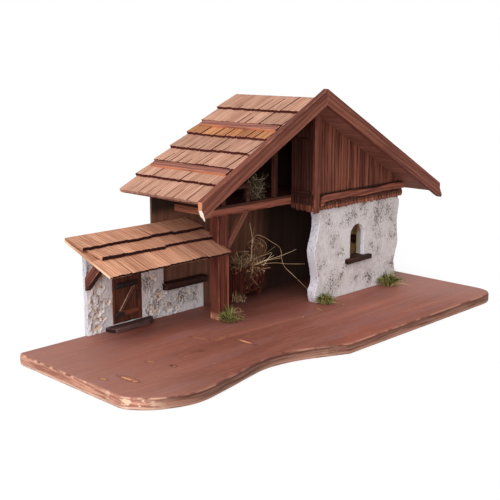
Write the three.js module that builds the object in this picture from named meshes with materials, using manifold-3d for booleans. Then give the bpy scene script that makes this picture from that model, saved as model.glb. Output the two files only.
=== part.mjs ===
// Nativity stable on a jig-sawn base board: an open bay with a loft, a plastered chamber
// under a boarded gable, and a low annex with a door, all under shingled roofs.
//
// Millimetres. Inside the group `stable`, x runs from the board's left end, y from the
// board's back edge (forward is negative) and z from the board's top. The group is then
// moved so that the origin lies on the ground under the middle of the whole object.

import * as THREE from 'three';
import { mergeVertices } from 'three/addons/utils/BufferGeometryUtils.js';
import Module from 'manifold-3d';

const wasm = await Module();
wasm.setup();

// Clearance between pieces that rest on a slope or are notched round each other
const FIT_GAP = 0.3;

// Base board
const BOARD_LENGTH = 800;
const BOARD_DEPTH = 315;
const BOARD_THICKNESS = 18;
const BOARD_EDGE_ROUND = 3.5;
const BOARD_BACK_CORNER = 8;
const BOARD_FRONT_CORNER = 40;
// The sawn front edge, left to right: distance along, distance back from the front
const BOARD_FRONT_CURVE = [
  [0, 80], [7, 62], [34, 36], [86, 18], [160, 29], [235, 44], [299, 34], [375, 0],
];

// Back panel, nailed to the board's back edge
const BACK_THICKNESS = 4;
const BACK_LEFT = 254;
const BACK_LIFT = 1;

// Main roof
const RIDGE_X = 450;
const ROOF_SLOPE_RATIO = 0.549;
const RIDGE_UNDERSIDE = 350;
const ROOF_PANEL_THICKNESS = 3.5;
const ROOF_FRONT = 190;
const FIRST_TIP_RUN = 45;
const COURSE_RUN = 35;
const COURSE_COUNT_LEFT = 7;
const COURSE_COUNT_RIGHT = 9;
const COUNT_ABOVE_UPPER_LATH = 2;
const COUNT_ABOVE_LOWER_LATH = 5;
const EAVE_DRIP = 5;
const SHINGLE_THICKNESS = 2.3;
const SHINGLE_LAP = 10;
const SHINGLE_MIN_WIDTH = 16;
const SHINGLE_MAX_WIDTH = 34;
const SHINGLE_SLIT = 0.7;
const SHINGLE_RAGGED = 1.2;
const SHINGLE_SKEW = 0.4;
const SHINGLE_SLIT_COVER = 3;
const LATH_WIDTH = 13;
const LATH_THICKNESS = 4.5;
const LATH_END_INSET = 9;

// Barge boards on the front verge
const BARGE_THICKNESS = 10;
const BARGE_TOP_RISE = 20;
const BARGE_DEPTH = 25;
// Each foot: run past the last shingles' tips, drop below the board's top edge
const BARGE_FOOT_LEFT = [[12.5, 0], [13, 12], [8, 27], [-6, 35], [-6, 26]];
const BARGE_FOOT_RIGHT = [[3, 0], [3.5, 10], [11, 18], [9, 24], [0, 25]];

// Chamber at the right: plastered front wall, boarded gable, side wall
const HOUSE_RIGHT = 737;
const SIDE_WALL_THICKNESS = 4;
const FRONT_WALL_FACE = 135.7;
const FRONT_WALL_THICKNESS = 18;
const FRONT_WALL_LEFT = 505;
const FRONT_WALL_TOP = 188;
// Sawn wall edges: height, and how far the edge stands out to the left or right
const WALL_LEFT_WAVE = [[18, 4], [40, -4], [75, 4], [95, 6], [122, -2], [143, -5]];
const WALL_RIGHT_WAVE = [[22, -3], [40, -6], [68, 2], [80, 4], [117, 0], [150, 5]];
const WINDOW_X = 616.5;
const WINDOW_WIDTH = 39;
const WINDOW_FOOT = 60;
const WINDOW_SPRING = 106;
const WINDOW_SILL_OVERHANG = 15;
const WINDOW_SILL_HEIGHT = 9;
const WINDOW_SILL_PROUD = 8;
const WINDOW_SILL_TONGUE = 6;
const WINDOW_SILL_WORN = 2;

const CLADDING_THICKNESS = 4;
const CLADDING_LEFT = 484;
const CLADDING_FOOT = 163;
const CLADDING_BOARD_MIN = 7;
const CLADDING_BOARD_MAX = 12;
const CLADDING_NOTCH = 4;
const CLADDING_NOTCH_HALF = 1.5;
const CLADDING_TOOTH_ROUND = 0.5;
const CLADDING_UNEVEN = 1.2;
const GABLE_PANEL_THICKNESS = 4;
const CORNER_BOARD_WIDTH = 13;
const TRIM_THICKNESS = 3;
const TRIM_RISE = 16;
const TRIM_HEIGHT = 11;
const TRIM_START_GAP = 3;
const TRIM_START_DROP = 8;
const TRIM_START_WIDTH = 7;

// Open bay: post, beams and loft
const POST_LEFT = 315;
const POST_WIDTH = 23;
const POST_DEPTH = 21;
const BAY_FRONT = 91;
const BAY_SETBACK = 1;
const BEAM_FOOT = 172;
const BEAM_HEIGHT = 11;
const BEAM_DEPTH = 11;
const BEAM_LEFT = 302;
const PLATE_WIDTH = 11;
const LOFT_FLOOR_THICKNESS = 4;
const KING_POST_SIZE = 8;
const KNEE_BRACE_WIDTH = 13;
const KNEE_BRACE_FOOT = 112;
const KNEE_BRACE_REACH = 49;
const RAIL_LEFT = 325;
const RAIL_LENGTH = 63;
const RAIL_HEIGHT = 31;
const RAIL_DEPTH = 8;
const RAIL_POST_WIDTH = 8;
const RAIL_THICKNESS = 5;

// Annex at the left: plastered wall under a lean-to roof
const ANNEX_WALL_LEFT = 117;
const ANNEX_WALL_RIGHT = 357;
const ANNEX_WALL_THICKNESS = 9;
const ANNEX_TALL_RIGHT = 269;
const ANNEX_LOW_TOP = 45;
const ANNEX_SILL_HEIGHT = 11;
const ANNEX_SILL_DEPTH = 18;
const ANNEX_SILL_OVERHANG = 4;
const ANNEX_ROOF_LEFT = 87;
const ANNEX_ROOF_RIGHT = 325;
const ANNEX_SLOPE_RATIO = 0.34;
const ANNEX_ROOF_UNDERSIDE = 151;
const ANNEX_PANEL_THICKNESS = 3.5;
const ANNEX_SHINGLE_THICKNESS = 3.2;
const ANNEX_SHINGLE_LAP = 8;
const ANNEX_TIPS = [46, 77, 118];
const ANNEX_INSETS = [3, 11, 0];
const ANNEX_DRIP = 2;
const ANNEX_BRACE_PROUD = 3;
const ANNEX_BRACE_WIDTH = 11;
const ANNEX_BRACE_FOOT = 72;
const ANNEX_BRACE_HEIGHT = 21;

// Door and its step
const DOOR_LEFT = 165;
const DOOR_WIDTH = 58;
const DOOR_HEAD = 94;
const STEP_HEIGHT = 8;
const STEP_LEFT = 149;
// The worn step, left to right: distance along, distance out from the wall
const STEP_EDGE = [
  [0, 0], [2, 9], [7, 20], [33, 21], [73, 19], [86, 12], [90, 4], [89, 0],
];
const JAMB_WIDTH = 5.5;
const LEAF_THICKNESS = 4;
const LEAF_GAP = 0.6;
const LEAF_BOARDS = 4;
const LEAF_GROOVE = 0.8;
const LEDGE_INSET = 3;
const LEDGE_THICKNESS = 2.5;
const LEDGE_HEIGHT = 9;
const LEDGE_LOW = 19;
const LEDGE_HIGH = 65;
const DOOR_BRACE_WIDTH = 6;
const DOOR_BRACE_INSET_LOW = 2;
const DOOR_BRACE_INSET_HIGH = 6;
const PIN_RADIUS = 0.7;
const PIN_CLEARANCE = 0.3;
const BARREL_WALL = 0.7;
const BARREL_HEIGHT = 5;
const BARREL_OFF_JAMB = 0.5;
const BARREL_PROUD = 0.2;
const STRAP_LENGTH = 14;
const STRAP_THICKNESS = 1;
const PINTLE_PLATE_WIDTH = 4.2;
const PINTLE_PLATE_EDGE = 0.3;
const PINTLE_PLATE_THICKNESS = 1;
const PINTLE_HEIGHT = 2;
const PINTLE_LUG_LENGTH = 2;
const PIN_RISE = 1;
const LATCH_LENGTH = 15;
const LATCH_SIZE = 2.4;

// Manger against the back panel, hay and grass
const MANGER_LEFT = 425;
const MANGER_LENGTH = 53;
const MANGER_HEIGHT = 62;
const MANGER_TOP_DEPTH = 40;
const MANGER_FOOT_DEPTH = 25;
const MANGER_WALL_GAP = 4;
const MANGER_END_THICKNESS = 3;
const MANGER_LEG_WIDTH = 7;
const MANGER_LEG_HEIGHT = 10;
const MANGER_LEG_TAPER = 2;
const LATTICE_THICKNESS = 2.5;
const LATTICE_FOOT = 13;
const LATTICE_RAIL = 5;
const LATTICE_SLAT = 4;
const LATTICE_PAIRS = 3;
const LATTICE_CLEAR = 0.5;
const HAY_CLEAR = 1;
const HAY_FILL_RISE = 4;
const HAY_SPREAD = 27;
const HAY_RISE = 30;
const LOFT_HAY_X = 422;
const LOFT_HAY_IN = 22;
const LOFT_HAY_SPREAD = 15;
const LOFT_HAY_RISE = 36;
const TUFT_SPREAD = 15;
const TUFT_RISE = 19;
const TUFT_AT_POST = -12;
const TUFT_AT_WALL_LEFT = 11;
const TUFT_AT_WALL_RIGHT = -38;

const finishes = {
  board: { color: '#8c5546', roughness: 0.6, metalness: 0 },
  timber: { color: '#7d4637', roughness: 0.65, metalness: 0 },
  barge: { color: '#734137', roughness: 0.65, metalness: 0 },
  cladding: { color: '#6e3c32', roughness: 0.7, metalness: 0 },
  panel: { color: '#4b2d26', roughness: 0.75, metalness: 0 },
  shingle: { color: '#cd9b82', roughness: 0.8, metalness: 0 },
  lath: { color: '#a0604b', roughness: 0.7, metalness: 0 },
  plaster: { color: '#beb2af', roughness: 0.9, metalness: 0 },
  darkWood: { color: '#3c2420', roughness: 0.75, metalness: 0 },
  iron: { color: '#26262b', roughness: 0.5, metalness: 0.7 },
  hay: { color: '#827355', roughness: 0.9, metalness: 0 },
  grass: { color: '#64783c', roughness: 0.85, metalness: 0 },
};

const stable = new THREE.Group();

function piece(name, finish, geometry) {
  const mesh = new THREE.Mesh(geometry, new THREE.MeshStandardMaterial(finishes[finish]));
  mesh.name = name;
  stable.add(mesh);
}

// Solids: flat outlines extruded along one axis, and boxes by their corners

const X_AXIS = new THREE.Vector3(1, 0, 0);
const Y_AXIS = new THREE.Vector3(0, 1, 0);
const Z_AXIS = new THREE.Vector3(0, 0, 1);
const FORWARD = new THREE.Vector3(0, -1, 0);

function outline(points) {
  return new THREE.Shape(points.map(([a, b]) => new THREE.Vector2(a, b)));
}

function extruded(shape, depth, curveSegments = 12) {
  return new THREE.ExtrudeGeometry(shape, { depth, bevelEnabled: false, curveSegments });
}

// An outline in x and z, from y = -front to y = -back
function frontFacing(shape, front, back, curveSegments) {
  const turn = new THREE.Matrix4().makeBasis(X_AXIS, Z_AXIS, FORWARD);
  const flat = extruded(shape, front - back, curveSegments);
  return flat.applyMatrix4(turn).translate(0, -back, 0);
}

// An outline in y and z, from x = left to x = right
function sideFacing(shape, left, right) {
  const turn = new THREE.Matrix4().makeBasis(Y_AXIS, Z_AXIS, X_AXIS);
  return extruded(shape, right - left).applyMatrix4(turn).translate(left, 0, 0);
}

function block(left, right, front, back, foot, top) {
  const box = new THREE.BoxGeometry(right - left, front - back, top - foot);
  return box.translate((left + right) / 2, -(front + back) / 2, (foot + top) / 2);
}

function upright(radius, x, front, foot, top) {
  const post = new THREE.CylinderGeometry(radius, radius, top - foot, 16);
  return post.rotateX(Math.PI / 2).translate(x, -front, (foot + top) / 2);
}

function weld(geometry) {
  const bare = geometry.clone();
  bare.deleteAttribute('normal');
  bare.deleteAttribute('uv');
  return mergeVertices(bare, 1e-4);
}

function solid(geometry) {
  const welded = weld(geometry);
  const vertProperties = new Float32Array(welded.attributes.position.array);
  const triVerts = new Uint32Array(welded.index.array);
  return new wasm.Manifold(new wasm.Mesh({ numProp: 3, vertProperties, triVerts }));
}

function surface(manifold) {
  const mesh = manifold.getMesh();
  const geometry = new THREE.BufferGeometry();
  const position = new THREE.BufferAttribute(new Float32Array(mesh.vertProperties), 3);
  geometry.setAttribute('position', position);
  geometry.setIndex(new THREE.BufferAttribute(new Uint32Array(mesh.triVerts), 1));
  geometry.computeVertexNormals();
  return geometry;
}

function joined(...geometries) {
  return surface(geometries.map(solid).reduce((whole, next) => whole.add(next)));
}

function cut(geometry, ...tools) {
  return surface(tools.map(solid).reduce((rest, tool) => rest.subtract(tool), solid(geometry)));
}

// A repeatable stand-in for the maker's hand: uneven widths and ends
function handOf(seed) {
  let state = seed;
  return (low, high) => {
    state = (state * 1664525 + 1013904223) % 4294967296;
    return low + (high - low) * (state / 4294967296);
  };
}

// Base board

function baseBoard() {
  const inset = BOARD_EDGE_ROUND;
  const shape = new THREE.Shape();
  const left = 0;
  const right = BOARD_LENGTH;
  const front = -BOARD_DEPTH;
  shape.moveTo(left, -BOARD_BACK_CORNER);
  shape.quadraticCurveTo(left, 0, BOARD_BACK_CORNER, 0);
  shape.lineTo(right, 0);
  shape.lineTo(right, front + BOARD_FRONT_CORNER);
  shape.quadraticCurveTo(right, front, right - BOARD_FRONT_CORNER, front);
  const curve = BOARD_FRONT_CURVE.map(([along, back]) => new THREE.Vector2(along, front + back));
  const straightEnd = curve.pop();
  shape.lineTo(straightEnd.x, straightEnd.y);
  shape.splineThru(curve.reverse());
  const rounded = new THREE.ExtrudeGeometry(shape, {
    depth: BOARD_THICKNESS - 2 * inset,
    bevelThickness: inset,
    bevelSize: inset,
    bevelOffset: -inset,
    bevelSegments: 3,
    curveSegments: 6,
  });
  return rounded.translate(0, 0, inset - BOARD_THICKNESS);
}

piece('base_board', 'board', baseBoard());

// Main roof: heights of its underside and outlines that end below it

function roofUnderside(x) {
  return RIDGE_UNDERSIDE - ROOF_SLOPE_RATIO * Math.abs(x - RIDGE_X);
}

function underRoof(x) {
  return roofUnderside(x) - FIT_GAP;
}

function roofedOutline(left, right, footPoints) {
  const top = [[right, underRoof(right)]];
  if (left < RIDGE_X && right > RIDGE_X) top.push([RIDGE_X, underRoof(RIDGE_X)]);
  top.push([left, underRoof(left)]);
  return outline([...footPoints, ...top]);
}

function roofed(left, right, foot) {
  return roofedOutline(left, right, [[left, foot], [right, foot]]);
}

const GABLE_FACE = FRONT_WALL_FACE + GABLE_PANEL_THICKNESS;
const CLADDING_FACE = GABLE_FACE + CLADDING_THICKNESS;
const TRIM_FACE = CLADDING_FACE + TRIM_THICKNESS;
const BOARDED_RIGHT = HOUSE_RIGHT + CLADDING_THICKNESS;
const FRONT_WALL_BACK = FRONT_WALL_FACE - FRONT_WALL_THICKNESS;
const SIDE_WALL_LEFT = HOUSE_RIGHT - SIDE_WALL_THICKNESS;

piece('back_panel', 'panel', frontFacing(
  roofed(BACK_LEFT, BOARDED_RIGHT, BACK_LIFT - BOARD_THICKNESS), 0, -BACK_THICKNESS,
));
piece('side_wall_right', 'panel', frontFacing(
  roofed(SIDE_WALL_LEFT, HOUSE_RIGHT, 0), FRONT_WALL_BACK, 0,
));

// Plastered front wall with its arched window

function wavyWall() {
  const shape = new THREE.Shape();
  const right = HOUSE_RIGHT;
  const left = FRONT_WALL_LEFT;
  shape.moveTo(left, 0);
  shape.lineTo(right, 0);
  const waved = (edge, wave, side) => wave.map(
    ([z, out]) => new THREE.Vector2(edge + side * out, z),
  );
  shape.splineThru(waved(right, [...WALL_RIGHT_WAVE, [CLADDING_FOOT - 2, 0]], 1));
  shape.lineTo(right, FRONT_WALL_TOP);
  shape.lineTo(left, FRONT_WALL_TOP);
  shape.lineTo(left, CLADDING_FOOT);
  const wave = waved(left, [[0, 0], ...WALL_LEFT_WAVE], -1);
  shape.splineThru([...wave].reverse());
  const window = new THREE.Path();
  const half = WINDOW_WIDTH / 2;
  window.moveTo(WINDOW_X - half, WINDOW_FOOT);
  window.lineTo(WINDOW_X + half, WINDOW_FOOT);
  window.lineTo(WINDOW_X + half, WINDOW_SPRING);
  window.absarc(WINDOW_X, WINDOW_SPRING, half, 0, Math.PI, false);
  shape.holes.push(window);
  return shape;
}

const WAVE_SEGMENTS = 5;
piece('front_wall', 'plaster', frontFacing(
  wavyWall(), FRONT_WALL_FACE, FRONT_WALL_BACK, WAVE_SEGMENTS,
));

function windowSill() {
  const half = WINDOW_WIDTH / 2;
  const top = WINDOW_FOOT + FIT_GAP + WINDOW_SILL_TONGUE;
  const foot = top - WINDOW_SILL_HEIGHT;
  const reach = half + WINDOW_SILL_OVERHANG;
  const worn = WINDOW_SILL_WORN;
  const shelf = outline([
    [WINDOW_X - reach, foot + worn / 2], [WINDOW_X - reach + worn, foot],
    [WINDOW_X + reach, foot + worn / 4], [WINDOW_X + reach, top], [WINDOW_X - reach, top],
  ]);
  const face = FRONT_WALL_FACE;
  const tongue = block(
    WINDOW_X - half + FIT_GAP, WINDOW_X + half - FIT_GAP,
    face + 1, FRONT_WALL_BACK, WINDOW_FOOT + FIT_GAP, top,
  );
  return joined(frontFacing(shelf, face + WINDOW_SILL_PROUD, face), tongue);
}

piece('window_sill', 'darkWood', windowSill());

// Boarded gable over the front wall

function boardEnds(from, to, foot, hand) {
  const points = [];
  let start = from;
  while (start < to) {
    const wide = hand(CLADDING_BOARD_MIN, CLADDING_BOARD_MAX);
    const end = to - start - wide < CLADDING_BOARD_MIN ? to : start + wide;
    const low = foot + hand(-CLADDING_UNEVEN, CLADDING_UNEVEN);
    const shoulder = low + CLADDING_TOOTH_ROUND;
    points.push([start, low + CLADDING_NOTCH], [start + CLADDING_NOTCH_HALF, shoulder]);
    points.push([(start + end) / 2, low], [end - CLADDING_NOTCH_HALF, shoulder]);
    start = end;
  }
  points.push([to, foot + CLADDING_NOTCH]);
  return points;
}

const RETURN_RIGHT = CLADDING_LEFT + CLADDING_THICKNESS;

piece('gable_panel', 'panel', frontFacing(
  roofed(RETURN_RIGHT, HOUSE_RIGHT, CLADDING_FOOT + CLADDING_NOTCH), GABLE_FACE, FRONT_WALL_FACE,
));
piece('cladding_front', 'cladding', frontFacing(
  roofedOutline(CLADDING_LEFT, BOARDED_RIGHT,
    boardEnds(CLADDING_LEFT, BOARDED_RIGHT, CLADDING_FOOT, handOf(11))),
  CLADDING_FACE, GABLE_FACE,
));

// What lies above one slope's underside, from a little left to a little right of a piece
function aboveSlope(left, right, front, back) {
  const from = left - 1;
  const to = right + 1;
  const top = RIDGE_UNDERSIDE + 1;
  return frontFacing(outline([
    [from, underRoof(from)], [to, underRoof(to)], [to, top], [from, top],
  ]), front + 1, back - 1);
}

// A boarded return: board ends along y, top cut to the roof's slope
function claddingReturn(left, right, front, back, seed) {
  const top = RIDGE_UNDERSIDE;
  const ends = boardEnds(-front, -back, CLADDING_FOOT, handOf(seed));
  const boards = sideFacing(outline([...ends, [-back, top], [-front, top]]), left, right);
  return cut(boards, aboveSlope(left, right, front, back));
}

piece('cladding_left', 'cladding', claddingReturn(
  CLADDING_LEFT, RETURN_RIGHT, GABLE_FACE, BAY_FRONT + FIT_GAP, 23,
));
piece('cladding_right', 'cladding', claddingReturn(
  HOUSE_RIGHT, BOARDED_RIGHT, GABLE_FACE, 0, 37,
));
piece('corner_board', 'timber', frontFacing(
  roofed(CLADDING_LEFT, CLADDING_LEFT + CORNER_BOARD_WIDTH, CLADDING_FOOT - 2),
  TRIM_FACE, CLADDING_FACE,
));

// Wavy strip nailed over the board ends, its left end rounded down
function gableTrim() {
  const left = CLADDING_LEFT + CORNER_BOARD_WIDTH + TRIM_START_GAP;
  const foot = CLADDING_FOOT + TRIM_RISE;
  const startFoot = foot - TRIM_START_DROP;
  const span = BOARDED_RIGHT - left;
  const low = (part, lift) => new THREE.Vector2(left + span * part, foot + lift);
  const high = (part, lift) => low(part, TRIM_HEIGHT + lift);
  const shape = new THREE.Shape();
  shape.moveTo(left, startFoot);
  shape.lineTo(left + TRIM_START_WIDTH, startFoot + 2);
  shape.splineThru([low(0.08, 0), low(0.3, 2), low(0.5, -1), low(0.75, 2), low(1, 0)]);
  shape.lineTo(BOARDED_RIGHT, foot + TRIM_HEIGHT);
  shape.splineThru([high(0.82, 1), high(0.6, -2), high(0.35, 1), high(0.06, 0)]);
  shape.quadraticCurveTo(left, foot + TRIM_HEIGHT, left, startFoot);
  return shape;
}

piece('gable_trim', 'cladding', cut(
  frontFacing(gableTrim(), TRIM_FACE, CLADDING_FACE),
  aboveSlope(RIDGE_X + 1, BOARDED_RIGHT, TRIM_FACE, CLADDING_FACE),
));

// Roof slopes: a point on the panel's top at the ridge, with the directions down the
// slope, square to it and along it, so that courses and laths are set out the same way

function slopeFrame(origin, down, normal) {
  const along = new THREE.Vector3().crossVectors(normal, down);
  return { origin, down, normal, along };
}

// Local x runs down the slope, local y along it and local z off it, tilted about y
function onSlope(geometry, slope, run, lift, tilt) {
  const down = slope.down.clone().multiplyScalar(Math.cos(tilt));
  down.addScaledVector(slope.normal, Math.sin(tilt));
  const normal = slope.normal.clone().multiplyScalar(Math.cos(tilt));
  normal.addScaledVector(slope.down, -Math.sin(tilt));
  const place = slope.origin.clone().addScaledVector(slope.down, run);
  place.addScaledVector(slope.normal, lift);
  const turn = new THREE.Matrix4().makeBasis(down, slope.along, normal).setPosition(place);
  return geometry.applyMatrix4(turn);
}

// One course of shingles as a comb: ragged tips, slits between, joined at the covered head
function courseOutline(head, tip, slitHead, width, hand) {
  const points = [[head, 0]];
  let start = 0;
  while (start < width) {
    const wide = hand(SHINGLE_MIN_WIDTH, SHINGLE_MAX_WIDTH);
    const last = width - start - wide < SHINGLE_MIN_WIDTH;
    const end = last ? width : start + wide;
    const reach = tip - hand(0, SHINGLE_RAGGED);
    const skewed = reach + hand(-SHINGLE_SKEW, SHINGLE_SKEW);
    points.push([reach, start], [skewed, last ? end : end - SHINGLE_SLIT]);
    if (!last) points.push([slitHead, end - SHINGLE_SLIT], [slitHead, end]);
    start = end;
  }
  points.push([head, width]);
  return outline(points);
}

// How each course lies: flat at the eave, then every course bearing on the one below it,
// on its head or at the tips, whichever lifts it more
function courseLayout(tips, lap, thickness, seat) {
  const courses = tips.map((tip, i) => ({ tip, head: i === 0 ? 0 : tips[i - 1] - lap }));
  let under = null;
  for (const course of [...courses].reverse()) {
    course.slope = 0;
    if (under) {
      const bearing = thickness + seat;
      const onHead = bearing / (under.head - course.head);
      const lapRise = (course.tip - under.head) * under.slope;
      const onTips = (bearing + lapRise) / (course.tip - course.head);
      course.slope = Math.max(onHead, onTips);
    }
    under = course;
  }
  return courses;
}

const pitchAngle = Math.atan(ROOF_SLOPE_RATIO);
const perRun = 1 / Math.cos(pitchAngle);
const panelRise = ROOF_PANEL_THICKNESS * perRun;
const roofWidth = ROOF_FRONT + BACK_THICKNESS;

function roofSide(side, courseCount) {
  const tips = Array.from({ length: courseCount }, (_, i) => FIRST_TIP_RUN + i * COURSE_RUN);
  const rearEnd = side < 0 ? BACK_THICKNESS : -ROOF_FRONT;
  const slope = slopeFrame(
    new THREE.Vector3(RIDGE_X, rearEnd, RIDGE_UNDERSIDE + panelRise),
    new THREE.Vector3(side * Math.cos(pitchAngle), 0, -Math.sin(pitchAngle)),
    new THREE.Vector3(side * Math.sin(pitchAngle), 0, Math.cos(pitchAngle)),
  );
  return { side, slope, tips, eaveRun: tips.at(-1) - EAVE_DRIP };
}

const roofSides = {
  left: roofSide(-1, COURSE_COUNT_LEFT),
  right: roofSide(1, COURSE_COUNT_RIGHT),
};

// Strips of courses above the first lath, between the laths, and below the second lath
const strips = {
  upper: [0, COUNT_ABOVE_UPPER_LATH],
  middle: [COUNT_ABOVE_UPPER_LATH, COUNT_ABOVE_LOWER_LATH],
  lower: [COUNT_ABOVE_LOWER_LATH, Infinity],
};
const EMBED = -0.1;

function shingleStrip({ slope, tips }, courses, first, last, hand) {
  const parts = courses.slice(first, last).map((course, i) => {
    const covered = i === 0 && first > 0;
    const head = covered ? tips[first - 1] * perRun + SHINGLE_SKEW + FIT_GAP : course.head;
    const coveredTo = i + first > 0 ? tips[i + first - 1] * perRun : 0;
    const slitHead = coveredTo + SHINGLE_SLIT_COVER;
    const start = course.head;
    const comb = courseOutline(
      Math.max(head, FIT_GAP) - start, course.tip - start, slitHead - start, roofWidth, hand,
    );
    return onSlope(
      extruded(comb, SHINGLE_THICKNESS), slope, start, FIT_GAP, Math.atan(course.slope),
    );
  });
  return parts.length > 1 ? joined(...parts) : parts[0];
}

function roofLath({ slope, tips }, courses, after) {
  const below = courses[after];
  const start = tips[after - 1] * perRun + SHINGLE_SKEW + 2 * FIT_GAP - below.head;
  const base = SHINGLE_THICKNESS + FIT_GAP;
  const lath = new THREE.BoxGeometry(
    LATH_WIDTH, roofWidth - 2 * LATH_END_INSET, LATH_THICKNESS,
  ).translate(start + LATH_WIDTH / 2, roofWidth / 2, base + LATH_THICKNESS / 2);
  return onSlope(lath, slope, below.head, FIT_GAP, Math.atan(below.slope));
}

function roofPanel({ side, eaveRun }) {
  const at = (run, lift) => [RIDGE_X + side * run, RIDGE_UNDERSIDE - ROOF_SLOPE_RATIO * run + lift];
  return outline([at(0, 0), at(0, panelRise), at(eaveRun, panelRise), at(eaveRun, 0)]);
}

for (const [name, roof] of Object.entries(roofSides)) {
  piece(`roof_panel_${name}`, 'barge', frontFacing(roofPanel(roof), ROOF_FRONT, -BACK_THICKNESS));
  const tipsDown = roof.tips.map((run) => run * perRun);
  const courses = courseLayout(tipsDown, SHINGLE_LAP, SHINGLE_THICKNESS, EMBED);
  const hand = handOf(roof.side < 0 ? 101 : 211);
  for (const [strip, [first, last]] of Object.entries(strips)) {
    const shingles = shingleStrip(roof, courses, first, last, hand);
    piece(`roof_shingles_${name}_${strip}`, 'shingle', shingles);
  }
  piece(`roof_lath_${name}_upper`, 'lath', roofLath(roof, courses, COUNT_ABOVE_UPPER_LATH));
  piece(`roof_lath_${name}_lower`, 'lath', roofLath(roof, courses, COUNT_ABOVE_LOWER_LATH));
}

// Barge boards, mitred at the apex

function bargeOutline(side, footPoints) {
  const at = ([run, fromTop]) => [
    RIDGE_X + side * run, RIDGE_UNDERSIDE + BARGE_TOP_RISE - ROOF_SLOPE_RATIO * run - fromTop,
  ];
  return outline([[0, 0], ...footPoints, [0, BARGE_DEPTH]].map(at));
}

const bargeFeet = { left: BARGE_FOOT_LEFT, right: BARGE_FOOT_RIGHT };
for (const [name, roof] of Object.entries(roofSides)) {
  const foot = bargeFeet[name].map(([past, drop]) => [roof.tips.at(-1) + past, drop]);
  piece(`bargeboard_${name}`, 'barge', frontFacing(
    bargeOutline(roof.side, foot), ROOF_FRONT + BARGE_THICKNESS, ROOF_FRONT,
  ));
}

// Open bay: post, wall plate, beam, braces and loft

const BEAM_TOP = BEAM_FOOT + BEAM_HEIGHT;
const LOFT_TOP = BEAM_TOP + LOFT_FLOOR_THICKNESS;
const POST_RIGHT = POST_LEFT + POST_WIDTH;
const BEAM_BACK = BAY_FRONT - BEAM_DEPTH;

piece('front_post', 'timber', block(
  POST_LEFT, POST_RIGHT, BAY_FRONT, BAY_FRONT - POST_DEPTH, 0, BEAM_FOOT,
));
piece('loft_beam', 'timber', block(
  BEAM_LEFT, SIDE_WALL_LEFT, BAY_FRONT, BEAM_BACK, BEAM_FOOT, BEAM_TOP,
));
piece('wall_plate_left', 'lath', block(
  BEAM_LEFT, BEAM_LEFT + PLATE_WIDTH, BEAM_BACK, 0, BEAM_FOOT, BEAM_TOP,
));
piece('knee_brace', 'timber', frontFacing(outline([
  [POST_RIGHT, KNEE_BRACE_FOOT],
  [POST_RIGHT + KNEE_BRACE_REACH, BEAM_FOOT],
  [POST_RIGHT + KNEE_BRACE_REACH - KNEE_BRACE_WIDTH, BEAM_FOOT],
  [POST_RIGHT, KNEE_BRACE_FOOT + KNEE_BRACE_WIDTH],
]), BAY_FRONT - BAY_SETBACK, BEAM_BACK));

piece('loft_floor', 'panel', extruded(outline([
  [BEAM_LEFT, 0], [BEAM_LEFT, -BAY_FRONT], [RETURN_RIGHT + FIT_GAP, -BAY_FRONT],
  [RETURN_RIGHT + FIT_GAP, -FRONT_WALL_BACK], [SIDE_WALL_LEFT, -FRONT_WALL_BACK],
  [SIDE_WALL_LEFT, 0],
]), LOFT_FLOOR_THICKNESS).translate(0, 0, BEAM_TOP));

const LOFT_FRONT = BAY_FRONT - BAY_SETBACK;
piece('king_post', 'timber', frontFacing(
  roofed(RIDGE_X - KING_POST_SIZE / 2, RIDGE_X + KING_POST_SIZE / 2, LOFT_TOP),
  LOFT_FRONT, LOFT_FRONT - KING_POST_SIZE,
));

// Low rail on two short posts at the loft's edge
function loftRail() {
  const right = RAIL_LEFT + RAIL_LENGTH;
  const railFoot = LOFT_TOP + RAIL_HEIGHT - RAIL_DEPTH;
  const shape = outline([
    [RAIL_LEFT, LOFT_TOP], [RAIL_LEFT + RAIL_POST_WIDTH, LOFT_TOP],
    [RAIL_LEFT + RAIL_POST_WIDTH, railFoot], [right - RAIL_POST_WIDTH, railFoot],
    [right - RAIL_POST_WIDTH, LOFT_TOP], [right, LOFT_TOP],
    [right, LOFT_TOP + RAIL_HEIGHT], [RAIL_LEFT, LOFT_TOP + RAIL_HEIGHT],
  ]);
  return frontFacing(shape, LOFT_FRONT, LOFT_FRONT - RAIL_THICKNESS);
}

piece('loft_rail', 'timber', loftRail());

// Annex wall, its low part and the door opening

function annexUnderside(out) {
  return ANNEX_ROOF_UNDERSIDE - ANNEX_SLOPE_RATIO * out;
}

function annexWall() {
  const top = ANNEX_ROOF_UNDERSIDE;
  const shape = outline([
    [ANNEX_WALL_LEFT, 0], [ANNEX_WALL_RIGHT, 0], [ANNEX_WALL_RIGHT, ANNEX_LOW_TOP],
    [ANNEX_TALL_RIGHT, ANNEX_LOW_TOP], [ANNEX_TALL_RIGHT, top], [ANNEX_WALL_LEFT, top],
  ]);
  shape.holes.push(outline([
    [DOOR_LEFT, STEP_HEIGHT], [DOOR_LEFT + DOOR_WIDTH, STEP_HEIGHT],
    [DOOR_LEFT + DOOR_WIDTH, DOOR_HEAD], [DOOR_LEFT, DOOR_HEAD],
  ]));
  const above = outline([
    [1, annexUnderside(-1) - FIT_GAP],
    [-ANNEX_WALL_THICKNESS - 1, annexUnderside(ANNEX_WALL_THICKNESS + 1) - FIT_GAP],
    [-ANNEX_WALL_THICKNESS - 1, top + 2], [1, top + 2],
  ]);
  return cut(
    frontFacing(shape, ANNEX_WALL_THICKNESS, 0),
    sideFacing(above, ANNEX_WALL_LEFT - 1, ANNEX_WALL_RIGHT + 1),
  );
}

piece('annex_wall', 'plaster', annexWall());

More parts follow.
